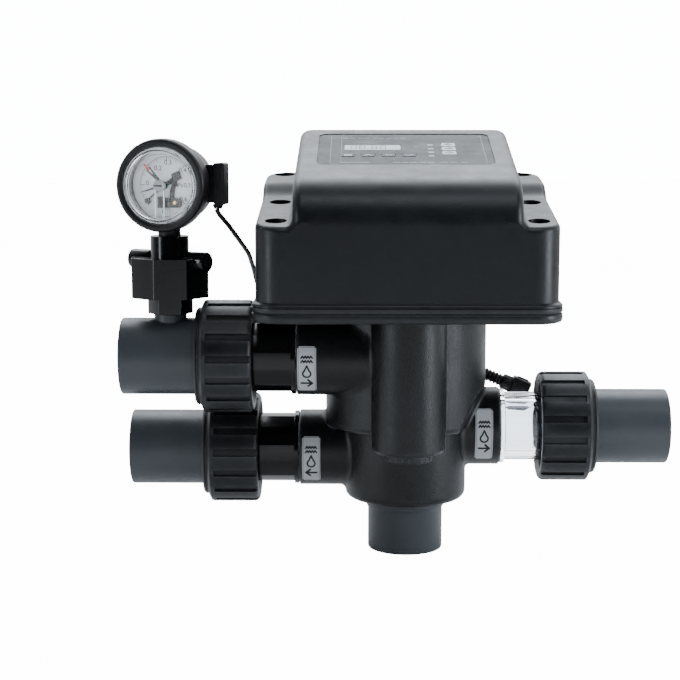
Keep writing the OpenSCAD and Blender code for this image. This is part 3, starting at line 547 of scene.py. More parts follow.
def surface_net(field, low, high, step):
    """Quads on the zero surface of a field, with every point moved onto it."""
    axes = [np.arange(a, b + step, step) for a, b in zip(low, high)]
    d = field(*np.meshgrid(*axes, indexing="ij"))
    inside = d < 0
    corners = [(i, j, k) for i in (0, 1) for j in (0, 1) for k in (0, 1)]
    size = np.array(d.shape) - 1

    def at(grid, c):
        return grid[c[0]:size[0] + c[0], c[1]:size[1] + c[1], c[2]:size[2] + c[2]]

    count = sum(at(inside, c).astype(np.int8) for c in corners)
    active = (count > 0) & (count < 8)
    cells = np.argwhere(active)
    index = np.full(active.shape, -1)
    index[active] = np.arange(len(cells))
    total = np.zeros((len(cells), 3))
    hits = np.zeros(len(cells))
    for a in corners:
        for axis in range(3):
            if a[axis]:
                continue
            b = list(a)
            b[axis] = 1
            da, db = d[tuple((cells + a).T)], d[tuple((cells + b).T)]
            crossed = (da < 0) != (db < 0)
            t = np.where(crossed, da / np.where(crossed, da - db, 1), 0)
            spot = np.array(a) + t[:, None] * (np.array(b) - np.array(a))
            total[crossed] += spot[crossed]
            hits += crossed
    points = (cells + total / hits[:, None]) * step + np.array(low)
    for _ in range(4):
        value, slope = field(*points.T), gradient(field, points)
        points -= np.clip(value, -step / 2, step / 2)[:, None] * slope
    faces = []
    for axis in range(3):
        u, v = (axis + 1) % 3, (axis + 2) % 3
        first = np.take(inside, range(size[axis]), axis)
        second = np.take(inside, range(1, size[axis] + 1), axis)
        edges = np.argwhere(first != second)
        edges = edges[(edges[:, u] > 0) & (edges[:, v] > 0) & (edges[:, u] < size[u]) & (edges[:, v] < size[v])]
        out = first[tuple(edges.T)]
        ring = []
        for du, dv in ((-1, -1), (0, -1), (0, 0), (-1, 0)):
            c = edges.copy()
            c[:, u] += du
            c[:, v] += dv
            ring.append(index[tuple(c.T)])
        ring = np.stack(ring, 1)
        ring[~out] = ring[~out][:, ::-1]
        faces.append(ring)
    return points, np.concatenate(faces)


def gradient(field, points, h=0.05):
    slope = np.stack([field(*(points + h * e).T) - field(*(points - h * e).T) for e in np.eye(3)], 1)
    return slope / np.maximum(np.linalg.norm(slope, axis=1, keepdims=True), 1e-9)


def moulded(name, field, low, high, step, slot, replaces, cutters=()):
    """Piece with the smooth surface of a field, after crisp cuts by closed parts."""
    points, faces = surface_net(field, low, high, step)
    mesh = bpy.data.meshes.new(name)
    mesh.from_pydata((points * MM).tolist(), [], faces.tolist())
    made = bpy.data.objects.new(name, mesh)
    bpy.context.scene.collection.objects.link(made)
    if cutters:
        tool_mesh = bpy.data.meshes.new(name + "_cutter")
        v, f = join(*cutters)
        tool_mesh.from_pydata([tuple(Vector(p) * MM) for p in v], [], f)
        work = bmesh.new()
        work.from_mesh(tool_mesh)
        bmesh.ops.recalc_face_normals(work, faces=work.faces)
        work.to_mesh(tool_mesh)
        work.free()
        tool = bpy.data.objects.new(name + "_cutter", tool_mesh)
        bpy.context.scene.collection.objects.link(tool)
        cut = made.modifiers.new("cut", "BOOLEAN")
        cut.operation = "DIFFERENCE"
        cut.object = tool
        cut.solver = "EXACT"
        graph = bpy.context.evaluated_depsgraph_get()
        result = bpy.data.meshes.new_from_object(made.evaluated_get(graph))
        made.modifiers.clear()
        made.data = result
        bpy.data.objects.remove(tool)
        bpy.data.meshes.remove(tool_mesh)
        mesh = result
    field_normals(mesh, field)
    mesh.materials.clear()
    mesh.materials.append(MATERIALS[slot])
    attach(made, "root")
    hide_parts(*replaces)
    return made


def field_normals(mesh, field, tolerance=0.03):
    """Normals from the field on the moulded surface, and flat ones on the cut walls."""
    mesh.shade_smooth()
    co = np.empty(len(mesh.vertices) * 3)
    mesh.vertices.foreach_get("co", co)
    co = co.reshape(-1, 3) / MM
    on_surface = np.abs(field(*co.T)) < tolerance
    slope = gradient(field, co)
    loop_vertex = np.empty(len(mesh.loops), int)
    mesh.loops.foreach_get("vertex_index", loop_vertex)
    loop_face = np.repeat(np.arange(len(mesh.polygons)), [p.loop_total for p in mesh.polygons])
    flat = np.empty(len(mesh.polygons) * 3)
    mesh.polygons.foreach_get("normal", flat)
    flat = flat.reshape(-1, 3)
    whole = np.ones(len(mesh.polygons), bool)
    np.logical_and.at(whole, loop_face, on_surface[loop_vertex])
    agree = (slope[loop_vertex] * flat[loop_face]).sum(1) > 0.6
    use = whole[loop_face] & agree
    normals = np.where(use[:, None], slope[loop_vertex], flat[loop_face])
    mesh.normals_split_custom_set(normals.tolist())

# -------------------------------------------------------------------- head


def plan_box(x, y, half_w, half_d, r):
    """Plan distance to the head's centred rectangle with round corners."""
    dx = np.abs(x - HEAD_X) - half_w + r
    dy = np.abs(y - HEAD_Y) - half_d + r
    return np.minimum(np.maximum(dx, dy), 0) + np.hypot(np.maximum(dx, 0), np.maximum(dy, 0)) - r


def shoulder_height(y):
    """Top of the shoulders: a front ramp, a soft step and a rear ramp."""
    ramp = 275.6 + 0.1575 * (y - FACE_FRONT - 4)
    t = np.clip((y - 6) / 23, 0, 1)
    return ramp + 8.7 * t * t * (3 - 2 * t) - 0.0325 * np.maximum(y - 27, 0)


def hump_side(y, z):
    """Side outline of the hump: front wall, big front curve, display slope and back."""
    rise = math.tan(TILT)
    cy, cz, r = FACE_FRONT + 38, 275, 38
    top = (z - (DISPLAY_Z + (y - DISPLAY_Y) * rise)) * math.cos(TILT)
    walls = np.maximum(FACE_FRONT - y, meet(top, y - FACE_BACK, 7))
    dy, dz = y - cy, z - cz
    in_curve = (dz > 0) & (-math.sin(TILT) * dz - math.cos(TILT) * dy > 0)
    return np.where(in_curve, np.hypot(dy, dz) - r, walls)


def cover_field(x, y, z):
    shoulder = meet(plan_box(x, y, HEAD_HALF_W - WALL_INSET, HEAD_HALF_D - WALL_INSET, HEAD_R - WALL_INSET / 2),
                    (z - shoulder_height(y)) * 0.985, 4.5)
    hump = meet(meet(np.abs(x - HEAD_X) - HUMP_HALF_W, y - FACE_BACK, 13), hump_side(y, z), 7)
    beside = np.maximum(shoulder, HUMP_HALF_W - 9 - np.abs(x - HEAD_X))
    shell = fillet(hump, beside, 6)
    return np.maximum.reduce([shell, FACE_FRONT - y, y - FACE_BACK, LIP_Z - 1.5 - z, z - COVER_TOP])


PANEL = (-71, 21.5, 142, 100, 8)


def head_cover():
    panel = moved(prism(round_rect(*PANEL, 8), -1.42, 30), DISPLAY)
    wells = [moved(prism(polygon(8.6, 64), z - 6, 400), upright(x, y)) for x, y, z in SCREW_SPOTS]
    moulded("cover_shell", cover_field, (HEAD_X - HEAD_HALF_W, HEAD_Y - HEAD_HALF_D, LIP_Z - 4),
            (HEAD_X + HEAD_HALF_W, HEAD_Y + HEAD_HALF_D, 350), 1.6, "head_black", ["head_cover"],
            [panel, *wells])
    lip = [(6, LIP_Z - 0.5), (3.4, LIP_Z + 1.6), (2.6, LIP_Z + 0.7), (1.6, LIP_Z), (0.6, LIP_Z - 0.5),
           (0.15, LIP_Z - 1.2), (0.05, 213.9), (0.9, 213.55), (0.9, 213.1), (0.05, 212.75), (0, 210.2),
           (0.25, 209.4), (0.9, SEAM_Z), (6, SEAM_Z)]
    piece("cover_lip", rim(lip), WORLD, "head_black", sharp=50)
    tray = [(0.9, SEAM_Z - 0.6), (0.25, 208), (0, 207.2), (0, 204.2), (0.35, 202.8), (1.2, 201.7), (2.6, 201.1),
            (4.5, TRAY_Z), (8, TRAY_Z), (8, TRAY_Z + 3), (4.6, TRAY_Z + 3), (4.6, SEAM_Z - 0.6)]
    floor_outline = round_rect(HEAD_X - HEAD_HALF_W + 6, HEAD_Y - HEAD_HALF_D + 6, 2 * HEAD_HALF_W - 12,
                               2 * HEAD_HALF_D - 12, HEAD_R - 3, 8)
    ribs = [slab(x - 0.9, TRAY_LOW[1] + 9, TRAY_Z, x + 0.9, -60, TRAY_Z + 1) for x in (-80, -45, 45, 78)]
    gland = lathe([(0, 190), (3.3, 187), (4.9, 192), (6.9, 192.5), (6.9, 202), (0, 202)], 32)
    piece("tray_rim", rim(tray), WORLD, "head_black", replaces=["head_tray"], sharp=50)
    floor = join(prism(floor_outline, TRAY_Z + 0.3, TRAY_Z + 3.5), *ribs, moved(gland, upright(41, 70)))
    piece("tray_floor", floor, WORLD, "head_black", bevel=0.3)


def lead_glands():
    """Two hexagon glands with domed nuts on the back wall."""
    nut = lathe([(0, 4.9), (6.2, 4.9), (6.2, 10.6), (5.4, 11.6), (4.9, 14.5), (3.3, 17), (2.1, 17), (2.1, 5),
                 (0, 5)], 40)
    flute = moved(prism(polygon(0.5, 6), 5.4, 10.4), Matrix.Translation((6.15, 0, 0)))
    gland = join(prism(polygon(8, 6), -0.6, 5), nut, *[turned(flute, 30 * k) for k in range(12)])
    for k, x in enumerate((-80, 70)):
        place = Matrix.Translation((x, FACE_BACK, 233)) @ Matrix.Rotation(-math.pi / 2, 4, "X")
        piece(f"lead_gland_{k + 1}", gland, place, "head_black", bevel=0.4)


def cover_screws():
    head = lathe([(0, 0), (4.5, 0), (5, 0.5), (5, 3.4), (4.4, 4), (2.6, 4), (2.6, 1.6), (0, 1.6)], 40)
    heads = [moved(head, upright(x, y, z - 6)) for x, y, z in SCREW_SPOTS]
    shafts = [moved(prism(polygon(2.2, 24), 204, z - 5.9), upright(x, y)) for x, y, z in SCREW_SPOTS]
    piece("well_screws", join(*heads, *shafts), WORLD, "steel", replaces=["cover_screws"], bevel=0.15)


head_cover()
lead_glands()
cover_screws()

# ----------------------------------------------------------------- display

PANEL_TOP = -0.6
KEY_X = (-46.4, -29.9, -13.4, 3.1)
KEY_Y = 52.5
KEY_NODES = ("key_menu", "key_up", "key_down", "key_set")
OVAL_SPOTS = [(21.1, 84.9 - 11.4 * k) for k in range(4)]
BAR_SPOTS = [(36, 86.7), (36, 73.9), (36, 60.8)]


def dome(w, h, r, z0, z1, puff):
    """Round-cornered button with a softly domed top."""
    rings = []
    for inset, z in ((0, z0), (0, z1 - puff), (0.25, z1 - puff * 0.45), (0.8, z1 - puff * 0.15), (2, z1)):
        outline = round_rect(-w / 2 + inset, -h / 2 + inset, w - 2 * inset, h - 2 * inset, max(r - inset, 0.3), 5)
        rings.append([(x, y, z) for x, y in outline])
    n = len(rings[0])
    faces = [list(range(n))[::-1], [len(rings) * n - n + k for k in range(n)]]
    for j in range(len(rings) - 1):
        faces += [[j * n + k, j * n + (k + 1) % n, (j + 1) * n + (k + 1) % n, (j + 1) * n + k] for k in range(n)]
    return [p for ring in rings for p in ring], faces


def stroke(points, w, z0, z1):
    """Flat line of width w through points."""
    parts = []
    for a, b in zip(points, points[1:]):
        a, b = Vector(a), Vector(b)
        side = (b - a).normalized()
        ahead, side = side * w / 2, Vector((-side.y, side.x)) * w / 2
        parts.append(prism([tuple(a - ahead - side), tuple(b + ahead - side), tuple(b + ahead + side),
                            tuple(a - ahead + side)], z0, z1))
    return join(*parts)


def loop(points, w, z0, z1):
    return stroke(list(points) + [points[0]], w, z0, z1)


KEY_MARKS = {
    "key_menu": [[(-2.6, 1.2), (2.6, 1.2)], [(-2.6, 0), (2.6, 0)], [(-2.6, -1.2), (2.6, -1.2)]],
    "key_up": [[(-2.4, -1), (0, 1.3), (2.4, -1)]],
    "key_down": [[(-2.4, 1), (0, -1.3), (2.4, 1)]],
    "key_set": [[(-2.5, 0), (-0.7, -1.4), (2.6, 1.4)]],
}


def display():
    top = PANEL_TOP
    line = round_rect(-60.5, 25, 125, 93.5, 6, 6)
    marks = [loop(line, 0.35, top, top + 0.06), stroke([(-52, 30), (-52, 112)], 0.25, top, top + 0.05)]
    marks += [stroke([(x, y), (x + w, y)], 0.28, top, top + 0.05)
              for y in (88, 84.4, 75.6, 72, 62, 58.4) for x, w in ((46, 18),)]
    marks += [stroke([(14, y), (17, y)], 0.4, top, top + 0.05) for _, y in OVAL_SPOTS]
    marks += [stroke([(x, 108), (x + 3.2, 108)], 1.1, top, top + 0.05) for x in range(-50, 2, 6)]
    marks += [stroke([(x, 31), (x + 4.4, 31)], 1.2, top, top + 0.05)
              for x in (-52, -46, -40, -34, -10, -3, 4, 11, 18, 28, 36, 44)]
    marks += [stroke([(8, y), (12, y)], 0.7, top, top + 0.05) for y in (82, 78)]
    piece("panel_print", join(*marks), DISPLAY, "panel_grey", material="print_pale")
    screen = dome(46, 15.6, 1.5, -1.3, -0.62, 0.1)
    piece("screen_window", moved(screen, Matrix.Translation((-26.4, 78.5, 0))), DISPLAY, "lcd_grey",
          replaces=["lcd_module"])
    digits = [loop([(x, y), (x + 4.2, y), (x + 4.2, y + 5.4), (x, y + 5.4)], 0.55, -0.62, -0.57)
              for y in (73.2, 78.6) for x in (-44, -37, -27, -20)]
    piece("screen_segments", join(*digits), DISPLAY, "lcd_grey", material="panel_grey")
    ovals = [moved(dome(5.4, 3.4, 1.6, -1.35, -0.3, 0.25), upright(x, y)) for x, y in OVAL_SPOTS]
    bars = [moved(dome(11.6, 10.2, 1.6, -1.35, -0.3, 0.3), upright(x, y)) for x, y in BAR_SPOTS]
    piece("lamp_windows", join(*ovals, *bars), DISPLAY, "lamp_white", replaces=["status_lamps"])
    signs = []
    for k, (x, y) in enumerate(BAR_SPOTS):
        signs.append(loop([(x - 3, y), (x, y + 2.4), (x + 3, y), (x, y - 2.4)], 0.8, -0.3, -0.24))
        signs.append(stroke([(x - 1.2 + k * 0.5, y), (x + 1.4, y)], 0.8, -0.3, -0.24))
    piece("lamp_marks", join(*signs), DISPLAY, "lamp_white", material="panel_grey")
    for x, node in zip(KEY_X, KEY_NODES):
        place = DISPLAY @ Matrix.Translation((x, KEY_Y, 0))
        cap = join(dome(11, 8.4, 1.6, -4.2, -0.2, 0.35), slab(-6.7, -5, -4.6, 6.7, 5, -3.6))
        piece(node + "_cap", cap, place, "key_grey", body=node, replaces=[node], sharp=50)
        mark = join(*[stroke(points, 1.15, -0.24, -0.16) for points in KEY_MARKS[node]])
        piece(node + "_mark", mark, place, "key_grey", body=node, material="print_white")


display()

# -------------------------------------------------------------- valve body

COLLAR_Z, CHAMBER_Z, CHAMBER_TOP = 44, 105, 201
COLUMN_X, COLUMN_Y, COLUMN_Z = 1, -58, 93


def body_field(x, y, z):
    chamber = round_bar(x, y, z, 66, CHAMBER_Z, CHAMBER_TOP + 6, 6)
    lean, turn = math.radians(67), math.radians(167)
    flat = ((x - 40.7) * math.sin(lean) * math.cos(turn) + (y + 52) * math.sin(lean) * math.sin(turn)
            + (z - 105) * math.cos(lean))
    chamber = meet(chamber, -flat, 1.2)
    collar = round_bar(x, y, z, 50, COLLAR_Z, CHAMBER_Z + 12, 6.5)
    plug_room = np.maximum(np.hypot(x - COLUMN_X, y - COLUMN_Y) - 20.4, np.abs(z - 89.5) - 4.5)
    collar = meet(collar, -plug_room, 0.8)
    shape = fillet(chamber, collar, 3)
    shape = fillet(shape, round_bar(x - COLUMN_X, y - COLUMN_Y, z, 29, COLUMN_Z, CHAMBER_TOP + 6, 3.5), 1.6)
    for name, inner, r in (("inlet", -20, 31), ("outlet", -12, 31.5), ("drain", 12, 32.4)):
        mouth, py, pz, side = PORTS[name]
        low, high = (mouth, inner) if side < 0 else (inner, mouth)
        shape = fillet(shape, round_bar(y - py, z - pz, x, r, low, high, 1.2), 4)
    return np.maximum(shape, z - CHAMBER_TOP)


def port_place(name):
    """Mouth of a port: x, axis y, axis z and direction, from its adaptor."""
    node = {"drain": "sight_tube"}.get(name, name + "_adaptor")
    low, high = box_mm(node)
    _, y, z, side = union_place(name)
    return (low[0] + 19.5 if side > 0 else high[0] - 19.5), y, z, side


PORTS = {name: port_place(name) for name in UNIONS}


def valve_body():
    ring = ring_prism(polygon(40, 96), polygon(35, 96), COLLAR_Z - 6, 58)
    moulded("body_casting", body_field, (-92, -92, COLLAR_Z - 3), (82, 70, CHAMBER_TOP + 3), 1.6, "body_black",
            ["valve_body"], [ring])
    head = lathe([(0, 89), (8.8, 89), (8.8, 86), (18.3, 86), (19.3, 86.8), (19.5, 87.8), (19.5, 92.5),
                  (0, 92.5)], 96)
    ribs = [turned(slab(-0.7, 17.6, 87.5, 0.7, 19.75, 92.4), 15 * k) for k in range(24)]
    plug = join(head, ring_prism(polygon(10.5, 6), polygon(9, 6), 85.95, 88), *ribs)
    piece("service_plug", plug, upright(COLUMN_X, COLUMN_Y), "body_black", replaces=["column_plug"], bevel=0.25)
    profile = soften([(31, 0.8), (31, 35.6), (32.2, 36.4), (32.2, 43.4), (31, 44), (31, 50), (25.3, 50),
                      (25.1, 1), (26, 0), (30.2, 0)], 0.6, 2)
    piece("riser_fitting", lathe(profile, 128), WORLD, "grey_pvc", replaces=["riser_socket"])
    mark = moved(prism(round_rect(-3, -2.2, 6, 4.4, 1, 3), 31.9, 32.5),
                 Matrix.Translation((0, 0, 39.8)) @ Matrix.Rotation(math.pi / 2, 4, "X"))
    piece("riser_marks", join(*[turned(mark, a) for a in (-20, 100, 220)]), WORLD, "grey_pvc", bevel=0.2)


valve_body()

# ------------------------------------------------------------------ unions

NUT_LEN = 40.3
NUT_R = 45.5
GROOVES = 16
GROOVE_END = 36.3


def nut_shell():
    """Nut outside with grip grooves that run out through its open mouth."""
    pitch = 2 * math.pi / GROOVES
    half = 3 / NUT_R
    wall = 0.3 / NUT_R
    offsets = [-half, -half + wall, -half * 0.35, half * 0.35, half - wall, half]
    offsets += [half + (pitch - 2 * half) * k / 5 for k in range(1, 5)]
    deep = [0, 1, 1, 1, 1, 0, 0, 0, 0, 0]
    shoulder = [(NUT_R - 4 + 4 * math.sin(a), 4 - 4 * math.cos(a)) for a in np.linspace(0, math.pi / 2, 7)]
    outside = [(39.2, 0.1)] + shoulder + [(NUT_R, 12), (NUT_R, 24), (NUT_R, GROOVE_END - 0.35)]
    grooved = len(outside)
    outside += [(NUT_R, GROOVE_END), (NUT_R, NUT_LEN - 1), (NUT_R - 1, NUT_LEN), (41.4, NUT_LEN + 1.6),
                (39.9, NUT_LEN + 1.7), (39.4, NUT_LEN + 2.2), (39.4, NUT_LEN + 2.9), (38.9, NUT_LEN + 3.1),
                (38.9, NUT_LEN + 3.6), (39.4, NUT_LEN + 3.8), (39.3, NUT_LEN + 4.6), (38.2, NUT_LEN + 6),
                (31.7, NUT_LEN + 6), (31.7, 37.4), (36.9, 37.4)]
    for k in range(9):
        z = 33.5 - 3.3 * k
        outside += [(36.9, z + 1.6), (38, z + 0.9), (38, z), (36.9, z - 0.7)]
    outside += [(36.9, 3.2), (38.5, 1.2)]
    points = []
    for j, (r, z) in enumerate(outside):
        for g in range(GROOVES):
            for offset, d in zip(offsets, deep):
                floor_r = NUT_R - 1.7
                rr = min(r, floor_r) if d and j < grooved else r
                a = g * pitch + offset + math.radians(5)
                points.append((rr * math.cos(a), rr * math.sin(a), z))
    n = GROOVES * len(offsets)
    faces = []
    for j in range(len(outside)):
        a, b = j * n, (j + 1) % len(outside) * n
        faces += [[a + k, a + (k + 1) % n, b + (k + 1) % n, b + k] for k in range(n)]
    return points, faces


def adaptor(reach, rim_r, facets=12):
    """Faceted tube with a flange at the port and its spigot inside the port."""
    body = soften(polygon(28.6, facets, math.pi / facets), 0.8, 2)
    bore = polygon(20, len(body), math.pi / facets)
    tube = ring_prism(body, bore, 4, reach + 12)
    flange = lathe(soften([(rim_r, 0.6), (rim_r, 4.2), (20.1, 4.2), (20.1, 0.6)], 0.5, 2), 128)
    return join(tube, flange)


def union(name):
    mouth, y, z, side = union_place(name)
    port_x = PORTS[name][0]
    reach = abs(mouth - port_x)
    place = along_x(mouth, y, z, side)
    port = along_x(port_x, y, z, side)
    piece(name + "_grip_nut", nut_shell(), place, "nut_black", body=name + "_nut", replaces=[name + "_nut"],
          bevel=0.28, sharp=28)
    if name != "drain":
        piece(name + "_neck", adaptor(reach, 30.6), port, "gloss_black", replaces=[name + "_adaptor"], sharp=25)
        threads = [(27, 6), (33, 6), (33.6, 7)]
        for k in range(4):
            threads += [(33.5, 6 + 3 * k), (35.6, 7.2 + 3 * k), (35.6, 8 + 3 * k), (33.5, 9 + 3 * k)]
        threads += [(33.5, 24), (27, 24)]
        piece(name + "_neck_thread", lathe(threads, 96), place, "gloss_black", sharp=25)
    else:
        piece("clear_tube", adaptor(reach, 31), port, "clear_tube", replaces=["sight_tube"], sharp=25)
        threads = [(28.9, 6), (33, 6), (33.6, 7)]
        for k in range(5):
            threads += [(33.5, 6 + 3 * k), (35.8, 7.2 + 3 * k), (35.8, 8 + 3 * k), (33.5, 9 + 3 * k)]
        threads += [(33.5, 24), (28.9, 24)]
        piece("clear_tube_thread", lathe(threads, 96), place, "clear_tube", sharp=25)
    tail = [(31, 37.1), (31, 105.9), (30.2, 107), (25.9, 107), (25.1, 105.8), (25.1, 76.2), (20, 76), (20, 33),
            (36, 33), (36, 37.1)]
    piece(name + "_pipe_tail", lathe(soften(tail, 0.5, 2), 128), place, "grey_pvc", replaces=[name + "_tail"])


union("inlet")
piece("inlet_saddle", lathe([(8.2, 193.5), (13, 193.5), (13, 200.6), (8.2, 200.6)], 48), upright(STEM_X, STEM_Y),
      "grey_pvc", bevel=0.3)
union("outlet")
union("drain")


def wrapped(outline, r0, r1, axis_y, axis_z):
    """Sticker on a pipe: outline in (x, arc length above the front), between two radii."""
    xs, ss = [p[0] for p in outline], [p[1] for p in outline]
    columns = np.linspace(min(ss), max(ss), 25)
    x0, x1 = min(xs), max(xs)
    corner = 1.6
    points, faces = [], []
    for s in columns:
        over = max(0.0, corner - (s - columns[0]), corner - (columns[-1] - s))
        cut = corner - math.sqrt(max(corner ** 2 - over ** 2, 0))
        for x in (x0 + cut, x1 - cut):
            for r in (r0, r1):
                a = s / r1
                points.append((x, axis_y - r * math.cos(a), axis_z + r * math.sin(a)))
    for k in range(len(columns) - 1):
        a, b = 4 * k, 4 * k + 4
        faces += [[a + 1, a + 3, b + 3, b + 1], [a, b, b + 2, a + 2], [a, a + 1, b + 1, b],
                  [a + 2, b + 2, b + 3, a + 3]]
    faces += [[0, 2, 3, 1], [len(points) - 4, len(points) - 3, len(points) - 1, len(points) - 2]]
    return points, faces


def bent(part, r, axis_y, axis_z, x):
    """Flat part in (across, up, out) wrapped on a pipe at x."""
    points = []
    for u, v, w in part[0]:
        a = v / r
        points.append((x + u, axis_y - (r + w) * math.cos(a), axis_z + (r + w) * math.sin(a)))
    return points, part[1]


def fine(points, w, z0, z1, pitch=1.2):
    """Stroke cut into short lengths, so that it can bend."""
    made = []
    for a, b in zip(points, points[1:]):
        a, b = Vector(a), Vector(b)
        n = max(1, int((b - a).length / pitch))
        stops = [a.lerp(b, k / n) for k in range(n + 1)]
        made.append(stroke([tuple(s) for s in stops], w, z0, z1))
    return join(*made)


def arc_points(cx, cy, r, start, end, n=14):
    return [(cx + r * math.cos(math.radians(start + (end - start) * k / n)),
             cy + r * math.sin(math.radians(start + (end - start) * k / n))) for k in range(n + 1)]


def drop(cx, cy, r):
    """Outline of a water drop."""
    belly = arc_points(cx, cy, r, -230, 50, 16)
    return belly + [(cx, cy + r * 2.1), belly[0]]


LABEL_T = 0.28
INK_TOP = 0.34


def labels():
    """Three silver stickers with a flow arrow, a drop and waves, bent round their ports."""
    stickers = []
    inks = []
    spots = (("inlet", 31, -87.3, -72.3, -29, 12.5, -1), ("outlet", 31.5, -85.4, -70.4, -27.5, 15, 1),
             ("drain", 32.4, 57.1, 71.5, -27, 20.4, 1))
    for name, r, x0, x1, s0, s1, flow in spots:
        _, y, z, side = PORTS[name]
        stickers.append(wrapped([(x0, s0), (x1, s1)], r, r + LABEL_T, y, z))
        mid = (s0 + s1) / 2
        x = (x0 + x1) / 2
        out = flow * side
        lines = [fine([(-4.2, 0), (4.2, 0)], 1.7, LABEL_T, INK_TOP),
                 fine([(out, 3.2), (out * 4.2, 0), (out, -3.2)], 1.7, LABEL_T, INK_TOP)]
        inks += [bent(moved(part, Matrix.Translation((0, mid - 10.5, 0))), r, y, z, x) for part in lines]
        inks.append(bent(fine(drop(0, mid - 1.5, 3.1), 1.3, LABEL_T, INK_TOP), r, y, z, x))
        waves = [fine([(-4.4 + 1.1 * k, mid + h + (0.7 if k % 2 else -0.7)) for k in range(9)], 1.2, LABEL_T, INK_TOP)
                 for h in (8.6, 12)]
        inks += [bent(part, r, y, z, x) for part in waves]
        left, right = x0 - x + 0.9, x1 - x - 0.9
        frame_line = [(left, s0 + 1), (right, s0 + 1), (right, s1 - 1), (left, s1 - 1), (left, s0 + 1)]
        inks.append(bent(fine(frame_line, 0.25, LABEL_T, INK_TOP - 0.01), r, y, z, x))
    piece("port_stickers", join(*stickers), WORLD, "label_silver", replaces=["port_labels"], sharp=50)
    piece("port_sticker_ink", join(*inks), WORLD, "label_silver", material="print_dark")


labels()

# ---------------------------------------------------------- gauge isolator


def isolator():
    stem = upright(STEM_X, STEM_Y)
    hexagon = soften(polygon(18.3, 6, math.radians(5)), 1.2, 2)
    base = join(prism(hexagon, 201, 214.4), lathe([(0, 192), (8, 192), (8, 202), (0, 202)], 40),
                lathe(soften([(0, 213.9), (15.5, 213.9), (15.5, 216), (26.6, 216), (26.6, 226), (0, 226)],
                             0.4, 1), 96))
    piece("isolator_foot", base, stem, "gloss_black", replaces=["isolator_base"], bevel=0.5, segments=3)
    turn = math.radians(-15.5)
    outline = soften(polygon(33, 8, turn), 1.2, 2)
    bore = polygon(26.9, len(outline), turn)
    top_bore = polygon(15.8, len(outline), turn)
    lug = lathe(soften([(0, 17.5), (8, 17.5), (8, 36.9), (3, 36.9), (2.4, 36.2), (0, 36.2)], 0.8, 2,
                       closed=False), 56)
    lugs = [moved(lug, upright(0, 0, 243.5) @ Matrix.Rotation(math.radians(-30), 4, "Z")
                  @ Matrix.Rotation(s * math.pi / 2, 4, "Y")) for s in (-1, 1)]
    nut = join(ring_prism(outline, bore, 214.6, 239), ring_prism(outline, top_bore, 238.9, 246.4), *lugs)
    piece("isolator_grip_nut", nut, stem, "gloss_black", body="isolator_nut", replaces=["isolator_nut"],
          bevel=0.6, segments=3, sharp=28)
    cup = soften([(0, 228), (25.8, 228), (25.8, 237.9), (15.3, 237.9), (15.3, 263.4), (9.1, 263.4), (9.1, 252),
                  (0, 252)], 0.7, 2, closed=False)
    piece("isolator_cup", lathe(cup, 96), stem, "gloss_black", replaces=["isolator_cap"])


isolator()

# ------------------------------------------------------------------- gauge

GAUGE_R = 36.8


def gauge_case():
    shell = soften([(0, -26), (28.5, -26), (30.5, -24), (33, -8), (36.3, 7), (GAUGE_R, 8.5), (GAUGE_R, 19.6),
                    (35.4, 21.8), (33.4, 22), (30.4, 21.2), (30.05, 20), (30.05, 17), (29, 17), (29, 2), (28, 2),
                    (28, -21), (0, -21)], 1.1, 3, closed=False)
    box = join(prism(round_rect(37.5, -15.5, 9.3, 33, 1.8, 4), -11, 1), slab(30, -14, -9, 38, 16, -1))
    lid = prism(round_rect(38.7, -14.2, 6.9, 30.4, 1, 3), 1, 1.5)
    gland = moved(lathe([(0, 0), (4.6, 0), (4.6, 1), (4, 1.4), (3.1, 3.6), (2.1, 3.6), (0, 3.4)], 32),
                  Matrix.Translation((39.8, -15.3, -4)) @ Matrix.Rotation(math.pi / 2, 4, "X"))
    rear = [turned(slab(-20, -1.1, -27, 20, 1.1, -25.9), a) for a in (0, 90)]
    ring = lathe([(24, -26.9), (25.5, -26.9), (25.5, -25.8), (24, -25.8)], 64)
    piece("gauge_shell", join(lathe(shell, 128), box, gland, *rear, ring), GAUGE, "gauge_black",
          replaces=["gauge_case"], bevel=0.5, sharp=40)
    stem = lathe([(0, 250.5), (7.8, 250.5), (9, 251.7), (9, 256), (8.4, 256.4), (8.4, 257), (9, 257.4), (9, 274),
                  (0, 274)], 56)
    piece("gauge_stem", stem, upright(STEM_X, STEM_Y), "gauge_black", bevel=0.2)
    piece("junction_lid", lid, GAUGE, "gauge_black", bevel=0.3)


def gauge_glass():
    ring = soften([(26.9, 20.4), (26.9, 17.2), (29.9, 17.2), (29.9, 22), (28.6, 23.3), (27.6, 23.3), (27, 22.2)], 0.4, 2)
    step = soften([(24.6, 17.6), (24.6, 18.6), (27, 18.6), (27, 17.6)], 0.2, 1)
    piece("gauge_ring", lathe(ring, 128), GAUGE, "gauge_glass", replaces=["gauge_window"])
    pane = [(4.5, 18.8), (4.5, 20.2), (27, 20.2), (27, 18.8)]
    piece("gauge_pane", lathe(pane, 128), GAUGE, "gauge_glass")
    piece("gauge_pane_step", lathe(step, 128), GAUGE, "gauge_glass")


